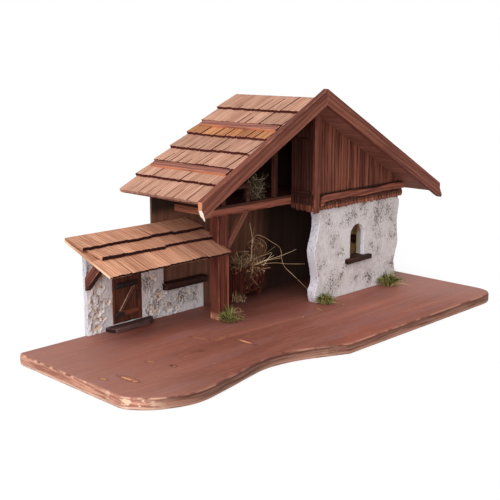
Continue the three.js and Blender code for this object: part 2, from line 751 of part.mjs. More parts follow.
function annexSill() {
  const left = ANNEX_TALL_RIGHT + FIT_GAP;
  const right = ANNEX_WALL_RIGHT + ANNEX_SILL_OVERHANG;
  const shape = new THREE.Shape();
  const front = -ANNEX_SILL_DEPTH;
  shape.moveTo(left, 0);
  shape.lineTo(left, -ANNEX_WALL_THICKNESS);
  shape.lineTo(left - ANNEX_SILL_OVERHANG, -ANNEX_WALL_THICKNESS - FIT_GAP);
  shape.quadraticCurveTo(left - ANNEX_SILL_OVERHANG, front, left + ANNEX_SILL_OVERHANG, front);
  shape.lineTo(right - ANNEX_SILL_OVERHANG, front);
  shape.quadraticCurveTo(right, front, right, -ANNEX_WALL_THICKNESS);
  shape.lineTo(right, 0);
  return extruded(shape, ANNEX_SILL_HEIGHT).translate(0, 0, ANNEX_LOW_TOP);
}

piece('annex_sill', 'darkWood', annexSill());

// Annex roof, notched round the front post

const annexAngle = Math.atan(ANNEX_SLOPE_RATIO);
const annexPerRun = 1 / Math.cos(annexAngle);
const annexPanelRise = ANNEX_PANEL_THICKNESS * annexPerRun;
const annexDepth = ANNEX_TIPS.at(-1) - ANNEX_DRIP;
const annexSlope = slopeFrame(
  new THREE.Vector3(ANNEX_ROOF_LEFT, 0, ANNEX_ROOF_UNDERSIDE + annexPanelRise),
  new THREE.Vector3(0, -Math.cos(annexAngle), -Math.sin(annexAngle)),
  new THREE.Vector3(0, -Math.sin(annexAngle), Math.cos(annexAngle)),
);
const postNotch = block(
  POST_LEFT - FIT_GAP, ANNEX_ROOF_RIGHT + 1, BAY_FRONT + FIT_GAP,
  BAY_FRONT - POST_DEPTH - FIT_GAP, ANNEX_LOW_TOP, BEAM_FOOT,
);

piece('annex_roof_panel', 'lath', cut(sideFacing(outline([
  [0, ANNEX_ROOF_UNDERSIDE], [0, ANNEX_ROOF_UNDERSIDE + annexPanelRise],
  [-annexDepth, annexUnderside(annexDepth) + annexPanelRise],
  [-annexDepth, annexUnderside(annexDepth)],
]), ANNEX_ROOF_LEFT, ANNEX_ROOF_RIGHT), postNotch));

const annexCourses = courseLayout(
  ANNEX_TIPS.map((run) => run * annexPerRun), ANNEX_SHINGLE_LAP, ANNEX_SHINGLE_THICKNESS, FIT_GAP,
);
const annexHand = handOf(307);
annexCourses.forEach((course, i) => {
  const width = ANNEX_ROOF_RIGHT - ANNEX_ROOF_LEFT - ANNEX_INSETS[i];
  const covered = i === 0 ? 0 : annexCourses[i - 1].tip - course.head;
  const length = course.tip - course.head;
  const headGap = i === 0 ? FIT_GAP : 0;
  const comb = courseOutline(
    headGap, length, covered + SHINGLE_SLIT_COVER, width, annexHand,
  );
  const flat = extruded(comb, ANNEX_SHINGLE_THICKNESS).translate(0, ANNEX_INSETS[i], 0);
  const laid = onSlope(flat, annexSlope, course.head, FIT_GAP, Math.atan(course.slope));
  piece(`annex_shingles_${i + 1}`, 'shingle', cut(laid, postNotch));
});

// Brace from the annex wall up to its roof, at 45 degrees

function annexBrace() {
  const wall = ANNEX_WALL_THICKNESS;
  const foot = ANNEX_BRACE_FOOT;
  const meets = (start) => {
    const out = (annexUnderside(wall) - FIT_GAP - start) / (1 + ANNEX_SLOPE_RATIO);
    return [-(wall + out), start + out];
  };
  const head = foot + ANNEX_BRACE_HEIGHT;
  return outline([[-wall, foot], meets(foot), meets(head), [-wall, head]]);
}

const annexBraceLeft = ANNEX_WALL_LEFT - ANNEX_BRACE_PROUD;
piece('annex_brace', 'timber', sideFacing(
  annexBrace(), annexBraceLeft, annexBraceLeft + ANNEX_BRACE_WIDTH,
));

// Door frame and step

const DOOR_RIGHT = DOOR_LEFT + DOOR_WIDTH;
const FRAME_FACE = ANNEX_WALL_THICKNESS;
const LINTEL_FOOT = DOOR_HEAD - JAMB_WIDTH;
const LEAF_LEFT = DOOR_LEFT + JAMB_WIDTH + LEAF_GAP;
const LEAF_RIGHT = DOOR_RIGHT - JAMB_WIDTH - LEAF_GAP;
const LEAF_FOOT = STEP_HEIGHT + LEAF_GAP;
const LEAF_TOP = LINTEL_FOOT - LEAF_GAP;

piece('door_jamb_left', 'darkWood', block(
  DOOR_LEFT, DOOR_LEFT + JAMB_WIDTH, FRAME_FACE, 0, STEP_HEIGHT, LINTEL_FOOT,
));
piece('door_jamb_right', 'darkWood', block(
  DOOR_RIGHT - JAMB_WIDTH, DOOR_RIGHT, FRAME_FACE, 0, STEP_HEIGHT, LINTEL_FOOT,
));
piece('door_lintel', 'darkWood', block(
  DOOR_LEFT, DOOR_RIGHT, FRAME_FACE, 0, LINTEL_FOOT, DOOR_HEAD,
));

const stepOutline = outline(
  STEP_EDGE.map(([along, out]) => [STEP_LEFT + along, -ANNEX_WALL_THICKNESS - out]),
);
piece('door_step', 'darkWood', extruded(stepOutline, STEP_HEIGHT));

// Door leaf with vee grooves between its boards, two ledges and a brace

function leafPlan() {
  const front = -FRAME_FACE;
  const wide = (LEAF_RIGHT - LEAF_LEFT) / LEAF_BOARDS;
  const points = [[LEAF_LEFT, front + LEAF_THICKNESS], [LEAF_LEFT, front]];
  for (let board = 1; board < LEAF_BOARDS; board += 1) {
    const seam = LEAF_LEFT + board * wide;
    points.push([seam - LEAF_GROOVE, front], [seam, front + LEAF_GROOVE]);
    points.push([seam + LEAF_GROOVE, front]);
  }
  points.push([LEAF_RIGHT, front], [LEAF_RIGHT, front + LEAF_THICKNESS]);
  return outline(points);
}

const LEDGE_FACE = FRAME_FACE + LEDGE_THICKNESS;
const LEDGE_LEFT = LEAF_LEFT + LEDGE_INSET;
const LEDGE_RIGHT = LEAF_RIGHT - LEDGE_INSET;

piece('door_leaf', 'darkWood',
  extruded(leafPlan(), LEAF_TOP - LEAF_FOOT).translate(0, 0, LEAF_FOOT));
piece('door_ledge_bottom', 'darkWood', block(
  LEDGE_LEFT, LEDGE_RIGHT, LEDGE_FACE, FRAME_FACE, LEDGE_LOW, LEDGE_LOW + LEDGE_HEIGHT,
));
piece('door_ledge_top', 'darkWood', block(
  LEDGE_LEFT, LEDGE_RIGHT, LEDGE_FACE, FRAME_FACE, LEDGE_HIGH, LEDGE_HIGH + LEDGE_HEIGHT,
));
const braceFoot = LEDGE_LOW + LEDGE_HEIGHT + FIT_GAP;
const braceTop = LEDGE_HIGH - FIT_GAP;
const braceFootLeft = LEDGE_LEFT + DOOR_BRACE_INSET_LOW;
const braceTopRight = LEDGE_RIGHT - DOOR_BRACE_INSET_HIGH;
piece('door_brace', 'darkWood', frontFacing(outline([
  [braceFootLeft, braceFoot], [braceFootLeft + DOOR_BRACE_WIDTH, braceFoot],
  [braceTopRight, braceTop], [braceTopRight - DOOR_BRACE_WIDTH, braceTop],
]), LEDGE_FACE, FRAME_FACE));
const latchX = LEDGE_RIGHT - LATCH_SIZE;
const latchFoot = (LEDGE_LOW + LEDGE_HIGH) / 2;
piece('door_latch', 'iron', block(
  latchX, latchX + LATCH_SIZE, FRAME_FACE + LATCH_SIZE, FRAME_FACE,
  latchFoot, latchFoot + LATCH_LENGTH,
));

// Hinges: a strap with a barrel on the leaf turns on a pintle fixed to the left jamb

const JAMB_EDGE = DOOR_LEFT + JAMB_WIDTH;
const HINGE_X = JAMB_EDGE + BARREL_OFF_JAMB;
const BARREL_RADIUS = PIN_RADIUS + PIN_CLEARANCE + BARREL_WALL;
const HINGE_OUT = LEDGE_FACE + STRAP_THICKNESS + BARREL_PROUD - BARREL_RADIUS;

function hingeStrap(middle) {
  const foot = middle - BARREL_HEIGHT / 2;
  const top = middle + BARREL_HEIGHT / 2;
  const barrel = upright(BARREL_RADIUS, HINGE_X, HINGE_OUT, foot, top);
  const strap = block(
    HINGE_X, HINGE_X + STRAP_LENGTH, LEDGE_FACE + STRAP_THICKNESS, LEDGE_FACE, foot, top,
  );
  const bore = upright(PIN_RADIUS + PIN_CLEARANCE, HINGE_X, HINGE_OUT, foot - 1, top + 1);
  return cut(joined(barrel, strap), bore);
}

function hingePintle(middle) {
  const top = middle - BARREL_HEIGHT / 2 - FIT_GAP;
  const foot = top - PINTLE_HEIGHT;
  const right = JAMB_EDGE - PINTLE_PLATE_EDGE;
  const plate = block(
    right - PINTLE_PLATE_WIDTH, right,
    FRAME_FACE + PINTLE_PLATE_THICKNESS, FRAME_FACE, foot, top,
  );
  const lug = block(
    JAMB_EDGE - PINTLE_LUG_LENGTH, HINGE_X + PIN_RADIUS,
    HINGE_OUT + PIN_RADIUS, FRAME_FACE + PINTLE_PLATE_THICKNESS / 2, foot, top,
  );
  const pin = upright(
    PIN_RADIUS, HINGE_X, HINGE_OUT, middle - BARREL_HEIGHT / 2 - 1,
    middle + BARREL_HEIGHT / 2 + PIN_RISE,
  );
  return joined(plate, lug, pin);
}

for (const [name, ledge] of [['bottom', LEDGE_LOW], ['top', LEDGE_HIGH]]) {
  const middle = ledge + LEDGE_HEIGHT / 2;
  piece(`hinge_strap_${name}`, 'iron', hingeStrap(middle));
  piece(`hinge_pintle_${name}`, 'iron', hingePintle(middle));
}

// Manger: two footed end boards, and a leaning lattice of zigzag slats between them

const MANGER_RIGHT = MANGER_LEFT + MANGER_LENGTH;
const mangerBack = -MANGER_WALL_GAP;

function mangerEnd() {
  const topFront = mangerBack - MANGER_TOP_DEPTH;
  const footFront = mangerBack - MANGER_FOOT_DEPTH;
  const leg = MANGER_LEG_WIDTH;
  const splay = MANGER_LEG_WIDTH + MANGER_LEG_TAPER;
  return outline([
    [topFront, MANGER_HEIGHT], [footFront, 0], [footFront + leg, 0],
    [footFront + splay, MANGER_LEG_HEIGHT], [mangerBack - splay, MANGER_LEG_HEIGHT],
    [mangerBack - leg, 0], [mangerBack, 0], [mangerBack, MANGER_HEIGHT],
  ]);
}

const leanRun = (MANGER_TOP_DEPTH - MANGER_FOOT_DEPTH) / MANGER_HEIGHT;
const latticeBack = mangerBack - MANGER_FOOT_DEPTH + LATTICE_THICKNESS + LATTICE_CLEAR;

function mangerLattice() {
  const left = MANGER_LEFT + MANGER_END_THICKNESS + FIT_GAP;
  const right = MANGER_RIGHT - MANGER_END_THICKNESS - FIT_GAP;
  const foot = LATTICE_FOOT;
  const top = MANGER_HEIGHT;
  const thick = LATTICE_THICKNESS;
  const bars = [
    frontFacing(outline([
      [left, foot], [right, foot], [right, foot + LATTICE_RAIL], [left, foot + LATTICE_RAIL],
    ]), thick, 0),
    frontFacing(outline([
      [left, top - LATTICE_RAIL], [right, top - LATTICE_RAIL], [right, top], [left, top],
    ]), thick, 0),
  ];
  const step = (right - left - LATTICE_SLAT) / (2 * LATTICE_PAIRS);
  for (let slat = 0; slat < 2 * LATTICE_PAIRS; slat += 1) {
    const start = left + slat * step;
    const low = slat % 2 === 0 ? start : start + step;
    const high = slat % 2 === 0 ? start + step : start;
    bars.push(frontFacing(outline([
      [low, foot + 1], [low + LATTICE_SLAT, foot + 1],
      [high + LATTICE_SLAT, top - 1], [high, top - 1],
    ]), thick, 0));
  }
  const lean = new THREE.Matrix4().makeShear(0, 0, 0, 0, 0, -leanRun);
  return joined(...bars).applyMatrix4(lean).translate(0, latticeBack, 0);
}

piece('manger_end_left', 'darkWood', sideFacing(
  mangerEnd(), MANGER_LEFT, MANGER_LEFT + MANGER_END_THICKNESS,
));
piece('manger_end_right', 'darkWood', sideFacing(
  mangerEnd(), MANGER_RIGHT - MANGER_END_THICKNESS, MANGER_RIGHT,
));
piece('manger_lattice', 'darkWood', mangerLattice());

// Hay and grass: closed clumps with spiky tops on a flat base

const CLUMP_FLATNESS = 0.7;
const CLUMP_HOLLOW = 0.75;
const CLUMP_SPIKE = 1.15;
const CLUMP_SPIKE_SHARE = 0.4;
const CLUMP_PLAIN_SKIRT = 0.15;

function clump(x, front, foot, spread, rise, seed) {
  const ball = weld(new THREE.IcosahedronGeometry(1, 3));
  const hand = handOf(seed);
  const points = ball.attributes.position;
  for (let i = 0; i < points.count; i += 1) {
    const up = points.getZ(i);
    const spiky = up > CLUMP_PLAIN_SKIRT && hand(0, 1) < CLUMP_SPIKE_SHARE;
    const spike = spiky ? hand(1, CLUMP_SPIKE) : CLUMP_HOLLOW;
    points.setXYZ(
      i,
      x + points.getX(i) * spread * spike,
      -front + points.getY(i) * spread * CLUMP_FLATNESS * spike,
      foot + Math.max(0, up) * rise * spike,
    );
  }
  ball.computeVertexNormals();
  return ball;
}

function mangerHay() {
  const left = MANGER_LEFT + MANGER_END_THICKNESS + HAY_CLEAR;
  const right = MANGER_RIGHT - MANGER_END_THICKNESS - HAY_CLEAR;
  const inner = (z) => latticeBack - leanRun * z + HAY_CLEAR;
  const foot = LATTICE_FOOT + 1;
  const top = MANGER_HEIGHT + HAY_FILL_RISE;
  const fill = sideFacing(outline([
    [inner(foot), foot], [mangerBack, foot], [mangerBack, top], [inner(top), top],
  ]), left, right);
  const middle = MANGER_WALL_GAP + MANGER_TOP_DEPTH / 2;
  const heap = clump(
    (MANGER_LEFT + MANGER_RIGHT) / 2, middle, MANGER_HEIGHT + FIT_GAP, HAY_SPREAD, HAY_RISE, 41,
  );
  return joined(fill, heap);
}

piece('manger_hay', 'hay', mangerHay());
piece('loft_hay', 'hay', clump(
  LOFT_HAY_X, BAY_FRONT - LOFT_HAY_IN, LOFT_TOP, LOFT_HAY_SPREAD, LOFT_HAY_RISE, 53,
));

const tuftReach = TUFT_SPREAD * CLUMP_FLATNESS * CLUMP_SPIKE + FIT_GAP;
const tufts = [
  ['grass_tuft_post', POST_RIGHT + TUFT_AT_POST, BAY_FRONT + tuftReach],
  ['grass_tuft_left', FRONT_WALL_LEFT + TUFT_AT_WALL_LEFT, FRONT_WALL_FACE + tuftReach],
  ['grass_tuft_right', HOUSE_RIGHT + TUFT_AT_WALL_RIGHT, FRONT_WALL_FACE + tuftReach],
];
tufts.forEach(([name, x, front], i) => {
  piece(name, 'grass', clump(x, front, 0, TUFT_SPREAD, TUFT_RISE, 61 + i));
});

// Origin: on the ground, under the middle of the board with the back panel on it
stable.position.set(-BOARD_LENGTH / 2, (BOARD_DEPTH - BACK_THICKNESS) / 2, BOARD_THICKNESS);
const assembly = new THREE.Group();
assembly.add(stable);

export default assembly;
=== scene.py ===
# A wooden nativity stable on its base board: an open bay with a loft, a plastered chamber
# under a boarded gable, and a low annex with a hinged door. Metres, in the frame of the part.

import math
import random

import bmesh
import bpy
from mathutils import Matrix, Vector, noise


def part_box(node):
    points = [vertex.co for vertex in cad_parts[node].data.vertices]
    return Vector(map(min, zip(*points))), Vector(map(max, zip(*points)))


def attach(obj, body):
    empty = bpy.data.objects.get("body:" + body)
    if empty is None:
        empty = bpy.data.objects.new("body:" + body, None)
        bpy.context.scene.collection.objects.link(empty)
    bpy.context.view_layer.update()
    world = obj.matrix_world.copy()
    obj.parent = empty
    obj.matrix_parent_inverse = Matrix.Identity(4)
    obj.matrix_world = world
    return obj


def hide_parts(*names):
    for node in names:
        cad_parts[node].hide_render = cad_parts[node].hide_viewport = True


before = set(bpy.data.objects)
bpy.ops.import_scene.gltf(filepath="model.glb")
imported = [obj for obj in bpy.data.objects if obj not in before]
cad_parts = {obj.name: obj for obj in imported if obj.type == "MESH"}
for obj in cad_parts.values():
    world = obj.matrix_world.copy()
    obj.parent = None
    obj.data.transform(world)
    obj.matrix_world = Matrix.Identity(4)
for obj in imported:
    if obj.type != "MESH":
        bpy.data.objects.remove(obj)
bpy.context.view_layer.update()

# The studio. The camera stands a good metre from the left end, a little above the ridge.
# A broad lamp hangs over the left half and another stands at the left, a pale room fills
# the shadows, and the floor and the backdrop are plain white.

CAMERA_PLACE = (-1.0493, -0.956, 0.4428)
CAMERA_YAW = 45.43
CAMERA_DOWN = 12.35
CAMERA_LENS = 64.8
ROOM_LIGHT = 0.33
LAMPS = {"lamp_above": (0.47, 34, (-0.42, -0.30, 0.86)), "lamp_left": (0.62, 40, (-0.79, -0.53, 0.31))}
FLOOR_SIZE = 6.0
FLOOR_WHITE = 0.80
FLOOR_SHADOW = 0.24
FLOOR_GLOW = 1.10


class Shade:
    """A socket in a material. Sums and products of sockets add Math nodes beside it."""

    def __init__(self, tree, socket=None):
        self.tree = tree
        self.socket = socket

    def node(self, kind, settings=None, inputs=None, output=0):
        """Adds a node: first its settings, then the values or links of its inputs."""
        made = self.tree.nodes.new("ShaderNode" + kind)
        for name, value in (settings or {}).items():
            setattr(made, name, value)
        for name, value in (inputs or {}).items():
            if isinstance(value, Shade):
                self.tree.links.new(value.socket, made.inputs[name])
            else:
                made.inputs[name].default_value = value
        return Shade(self.tree, made.outputs[output] if made.outputs else None)

    def other(self, output):
        """Another output of the same node."""
        return Shade(self.tree, self.socket.node.outputs[output])

    def place(self):
        """Where a point of the surface is, in metres."""
        return self.node("TexCoord", output="Object")

    def noted(self, name, output="Vector"):
        """What the mesh has noted down under a name."""
        return self.node("Attribute", {"attribute_name": name}, output=output)

    def part(self, axis="X"):
        """One axis of a place or another vector."""
        return self.node("SeparateXYZ", {}, {0: self}, axis)

    def math(self, operation, *values):
        return self.node("Math", {"operation": operation}, dict(enumerate((self, *values))))

    def __add__(self, value):
        return self.math("ADD", value)

    def __sub__(self, value):
        return self.math("SUBTRACT", value)

    def __rsub__(self, value):
        return (self * -1) + value

    def __mul__(self, value):
        return self.math("MULTIPLY", value)

    __radd__ = __add__
    __rmul__ = __mul__

    def between(self, low, high):
        """0 below low, 1 above high and smooth in between."""
        settings = {"interpolation_type": "SMOOTHSTEP"}
        return self.node("MapRange", settings, {0: self, 1: low, 2: high})

    def mixed(self, first, second):
        """The first colour where this is 0, the second where it is 1."""
        first, second = [as_light(*c) if isinstance(c, tuple) else c for c in (first, second)]
        return self.node("Mix", {"data_type": "RGBA"}, {0: self, 6: first, 7: second}, 2)

    def clouds(self, stretch, detail=3, roughness=0.55):
        """Noise over this place, stretched by so many waves a metre along each axis."""
        place = self.node("Mapping", {}, {"Vector": self, "Scale": stretch})
        inputs = {"Vector": place, "Scale": 1, "Detail": detail, "Roughness": roughness}
        return self.node("TexNoise", {}, inputs)


def as_light(red, green, blue, strength=1.0):
    """A colour as a screen shows it, from 0 to 255, as light."""
    shares = [channel / 255 for channel in (red, green, blue)]
    shares = [s / 12.92 if s < 0.04045 else ((s + 0.055) / 1.055) ** 2.4 for s in shares]
    return [*(share * strength for share in shares), 1]


camera = bpy.data.objects.new("camera", bpy.data.cameras.new("camera"))
camera.data.lens = CAMERA_LENS
camera.location = CAMERA_PLACE
camera.rotation_euler = (math.radians(90 - CAMERA_DOWN), 0, -math.radians(CAMERA_YAW))
bpy.context.scene.collection.objects.link(camera)
bpy.context.scene.camera = camera
bpy.context.scene.view_settings.view_transform = "Standard"

for name, (strength, spread, towards) in LAMPS.items():
    lamp = bpy.data.objects.new(name, bpy.data.lights.new(name, "SUN"))
    lamp.data.energy = strength * math.pi
    lamp.data.angle = math.radians(spread)
    lamp.rotation_mode = "QUATERNION"
    lamp.rotation_quaternion = Vector(towards).to_track_quat("Z", "Y")
    bpy.context.scene.collection.objects.link(lamp)

room = bpy.data.worlds.new("room")
bpy.context.scene.world = room
room.use_nodes = True
room.node_tree.nodes.clear()
air = Shade(room.node_tree)
rays = air.node("LightPath", output="Is Camera Ray")
seen = rays.math("MAXIMUM", rays.other("Is Glossy Ray"))
seen = seen.math("MAXIMUM", rays.other("Is Transmission Ray"))
plain = air.node("Background", {}, {"Color": (1, 1, 1, 1), "Strength": ROOM_LIGHT})
white = air.node("Background", {}, {"Color": (1, 1, 1, 1), "Strength": 1})
air.node("OutputWorld", {}, {0: air.node("MixShader", {}, {0: seen, 1: plain, 2: white})})

floor_mesh = bpy.data.meshes.new("floor")
half = FLOOR_SIZE / 2
corners = [(-half, -half), (half, -half), (half, half), (-half, half)]
floor_mesh.from_pydata([(x, y, -0.0005) for x, y in corners], [], [(0, 1, 2, 3)])
floor = bpy.data.objects.new("floor", floor_mesh)
bpy.context.scene.collection.objects.link(floor)
floor_paper = bpy.data.materials.new("floor_paper")
floor_paper.use_nodes = True
floor_paper.node_tree.nodes.clear()
paper = Shade(floor_paper.node_tree)
lit = paper.node("BsdfDiffuse", {}, {"Color": (FLOOR_WHITE, FLOOR_WHITE, FLOOR_WHITE, 1)})
glow = paper.node("Emission", {}, {"Color": (1, 1, 1, 1), "Strength": FLOOR_GLOW})
floor_seen = paper.node("LightPath", output="Is Camera Ray") * (1 - FLOOR_SHADOW)
paper.node("OutputMaterial", {}, {0: paper.node("MixShader", {}, {0: floor_seen, 1: lit, 2: glow})})
floor_mesh.materials.append(floor_paper)

# The base board: one wide board of glued pine staves, jig-sawn along the front, rounded
# over and stained reddish brown. Its grain runs from end to end, with small knots where
# the stain took less.

LONG = Vector((1, 0, 0))
DEEP = Vector((0, 1, 0))
HIGH = Vector((0, 0, 1))
STAIN_GLOSS = 0.14
STAVE_WIDTH = 0.058
BOARD_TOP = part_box("base_board")[1].z
# Each knot or sliver: its middle on the board's top, half its length and width, its turn
# in degrees, and how pale it is, from a dark pore at 0 to raw wood at 1
KNOTS = [
    (-0.3534, -0.0427, 0.0185, 0.0054, -85, 0.70), (-0.3543, -0.0410, 0.0115, 0.0030, -87, 1.15),
    (-0.3532, -0.0560, 0.0052, 0.0026, -70, 1), (-0.3774, -0.0198, 0.0080, 0.0038, -81, 0.8),
    (-0.2890, -0.0102, 0.0072, 0.0038, -60, 0.8), (-0.2785, -0.0475, 0.0066, 0.0042, -92, 0.1),
    (-0.2783, -0.0490, 0.0028, 0.0018, -60, 0.9), (-0.2083, -0.0271, 0.0046, 0.0028, -46, 0.1),
    (-0.1348, -0.0400, 0.0260, 0.0044, -84, 0.35), (-0.1318, -0.0415, 0.0165, 0.0028, -89, 1.2),
    (-0.1696, 0.0176, 0.0165, 0.0046, -76, 0.62), (-0.1475, -0.0047, 0.0165, 0.0042, 11, 0.6),
    (-0.1262, -0.1200, 0.0080, 0.0026, -64, 0.1), (0.0808, -0.0083, 0.0132, 0.0032, -110, 0.75),
    (0.1350, -0.0170, 0.0022, 0.0018, 0, 1.2), (0.0265, -0.0188, 0.0068, 0.0020, -122, 0.8),
]
# Long soft streaks: middle, half length, half width and turn
STREAKS = [
    (-0.0640, -0.0090, 0.1150, 0.0060, -3.5), (-0.3747, -0.0790, 0.0420, 0.0022, -12),
    (0.1600, -0.0600, 0.1200, 0.0080, 2),
]
ROOM_START = 0.085
ROOM_END = 0.135


def grown(shape, verts, faces, along, hand, cut=(), cut_share=1.0):
    """Gives one board its own tone and its own stretch of grain, with along as its length."""
    grain = shape.verts.layers.float_vector.get("grain")
    mark = shape.faces.layers.float_vector.get("mark")
    aside = along.orthogonal().normalized()
    if abs(along.dot(HIGH)) < 0.9:
        aside = HIGH.cross(along).normalized()
    through = along.cross(aside)
    shift = Vector([hand.uniform(0, 9) for axis in "xyz"])
    share = hand.random()
    for vert in verts:
        vert[grain] = Vector([vert.co.dot(axis) for axis in (along, aside, through)]) + shift
    for face in faces:
        face.normal_update()
        sawn = face in cut or abs(face.normal.dot(along)) > 0.8
        face[mark] = Vector((share, 0, sawn * cut_share))


def new_shape():
    shape = bmesh.new()
    shape.verts.layers.float_vector.new("grain")
    shape.faces.layers.float_vector.new("mark")
    return shape


def eased(shape, edges, softness):
    """Eases edges and marks what it made for the edge tone, which is wear, and in some looks painted
    shade and highlight.
    """
    made = bmesh.ops.bevel(
        shape, geom=edges, offset=softness, segments=2, profile=0.6, affect="EDGES",
        clamp_overlap=True,
    )
    mark = shape.faces.layers.float_vector["mark"]
    for face in made["faces"]:
        face[mark] = Vector((face[mark].x, 1, 0))


def placed(shape, name, look, slot, nodes, body="stable", smooth=0):
    """Turns a shape into a piece that stands for some nodes and moves with a body."""
    bmesh.ops.recalc_face_normals(shape, faces=shape.faces)
    mesh = bpy.data.meshes.new(name)
    shape.to_mesh(mesh)
    shape.free()
    mesh.materials.append(bpy.data.materials[look])
    if smooth:
        mesh.shade_smooth()
        mesh.set_sharp_from_angle(angle=math.radians(smooth))
    piece = bpy.data.objects.new(name, mesh)
    bpy.context.scene.collection.objects.link(piece)
    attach(piece, body)
    if nodes:
        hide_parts(*nodes)


noise.seed_set(4)    # or else noise_vector changes from run to run
# A piece is cut across at this spacing, up to so many times, so that it can be uneven
CUT_SPACING = 0.018
MOST_CUTS = 24


def worked(node, look, slot, along, softness=0.0006, wander=0.00025, shorter=0, **options):
    """A node's shape as a maker leaves it: edges eased and faces a little uneven."""
    hand = random.Random(node)
    shape = new_shape()
    source = bmesh.new()
    source.from_mesh(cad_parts[node].data)
    bmesh.ops.remove_doubles(source, verts=source.verts, dist=1e-5)
    bare = bpy.data.meshes.new("bare")
    source.to_mesh(bare)
    source.free()
    shape.from_mesh(bare)
    bpy.data.meshes.remove(bare)
    bmesh.ops.dissolve_limit(shape, angle_limit=math.radians(2), verts=shape.verts, edges=shape.edges)
    reach = [vert.co.dot(along) for vert in shape.verts]
    for vert in shape.verts:
        if shorter and vert.co.dot(along) < min(reach) + shorter:
            vert.co += along * shorter
    cuts = min(MOST_CUTS, int((max(reach) - min(reach)) / CUT_SPACING)) if wander else 0
    for cut in range(1, cuts):
        at = min(reach) + (max(reach) - min(reach)) * cut / cuts
        everything = [*shape.verts, *shape.edges, *shape.faces]
        bmesh.ops.bisect_plane(shape, geom=everything, plane_co=along * at, plane_no=along)
    shape.normal_update()
    grown(shape, shape.verts, shape.faces, along, hand)
    corner = math.radians(25)
    sharp = [e for e in shape.edges if e.is_manifold and e.calc_face_angle(0) > corner]
    if softness:
        eased(shape, sharp, softness)
    shift = Vector([hand.uniform(0, 9) for axis in "xyz"])
    for vert in shape.verts:
        push = noise.noise_vector(vert.co * 28 + shift) * wander
        vert.co += push - along * push.dot(along)
    placed(shape, f"{node}_worked", look, slot, [node], **options)


def figure(shade, dark, light, ring=0.0055, contrast=1.0):
    """The look of sawn wood between two tones: streaks, fibres and year rings."""
    grain = shade.noted("grain")
    across = grain.part("Y")
    streaks = grain.clouds((5, 85, 85), 4, 0.6)
    fibres = grain.clouds((24, 520, 520), 4, 0.65)
    bend = grain.clouds((3, 16, 16), 2, 0.4)
    year = (across + across.other("Z") * 0.6) * (2 * math.pi / ring) + bend * 26
    year = year.math("SINE") * 0.5 + 0.5
    body = streaks * 0.48 + fibres * 0.40 + year * 0.12
    spread = 0.13 / contrast
    colour = body.between(0.5 - spread, 0.5 + spread).mixed(dark, light)
    pores = grain.clouds((9, 620, 620), 2, 0.5).between(0.58, 0.68) * 0.6
    colour = pores.mixed(colour, as_light(*dark, strength=0.55))
    relief = streaks * 0.3 + fibres * 0.5 + year * 0.2
    return grain, colour, relief


def finished(shade, colour, roughness, relief, depth):
    """Closes a material with its colour, roughness and relief."""
    bump = shade.node("Bump", {}, {"Height": relief, "Distance": depth})
    inputs = {"Base Color": colour, "Roughness": roughness, "Normal": bump}
    inputs["Specular IOR Level"] = STAIN_GLOSS
    skin = shade.node("BsdfPrincipled", {}, inputs)
    shade.node("OutputMaterial", {}, {0: skin})


def new_look(name):
    """An empty material, which pieces take by its name."""
    material = bpy.data.materials.new(name)
    material.use_nodes = True
    material.node_tree.nodes.clear()
    return Shade(material.node_tree)


def tinted(shade, colour, value, much):
    """A colour brightened or darkened by a value around 0.5."""
    level = value * much + (1 - much / 2)
    settings = {"data_type": "RGBA", "blend_type": "MULTIPLY"}
    return shade.node("Mix", settings, {0: 1.0, 6: colour, 7: level}, 2)


def layered(colour, *layers):
    """Lays tones over a colour, each as far as its mask says."""
    for mask, tone in layers:
        colour = mask.mixed(colour, tone)
    return colour


def facing(shade, towards):
    """How far a surface faces one way, from -1 to 1."""
    turned = shade.node("TexCoord", output="Normal")
    return shade.node("VectorMath", {"operation": "DOT_PRODUCT"}, {0: turned, 1: towards}, "Value")


def oval(shade, place, x, y, long, wide, turn):
    """How far out of a turned oval on the board a place lies, 1 on its edge."""
    inputs = {"Vector": place, "Location": (x, y, 0), "Scale": (long, wide, 1)}
    inputs["Rotation"] = (0, 0, math.radians(turn))
    apart = shade.node("Mapping", {"vector_type": "TEXTURE"}, inputs)
    apart = shade.node("VectorMath", {"operation": "MULTIPLY"}, {0: apart, 1: (1, 1, 0)})
    return shade.node("VectorMath", {"operation": "LENGTH"}, {0: apart}, "Value")


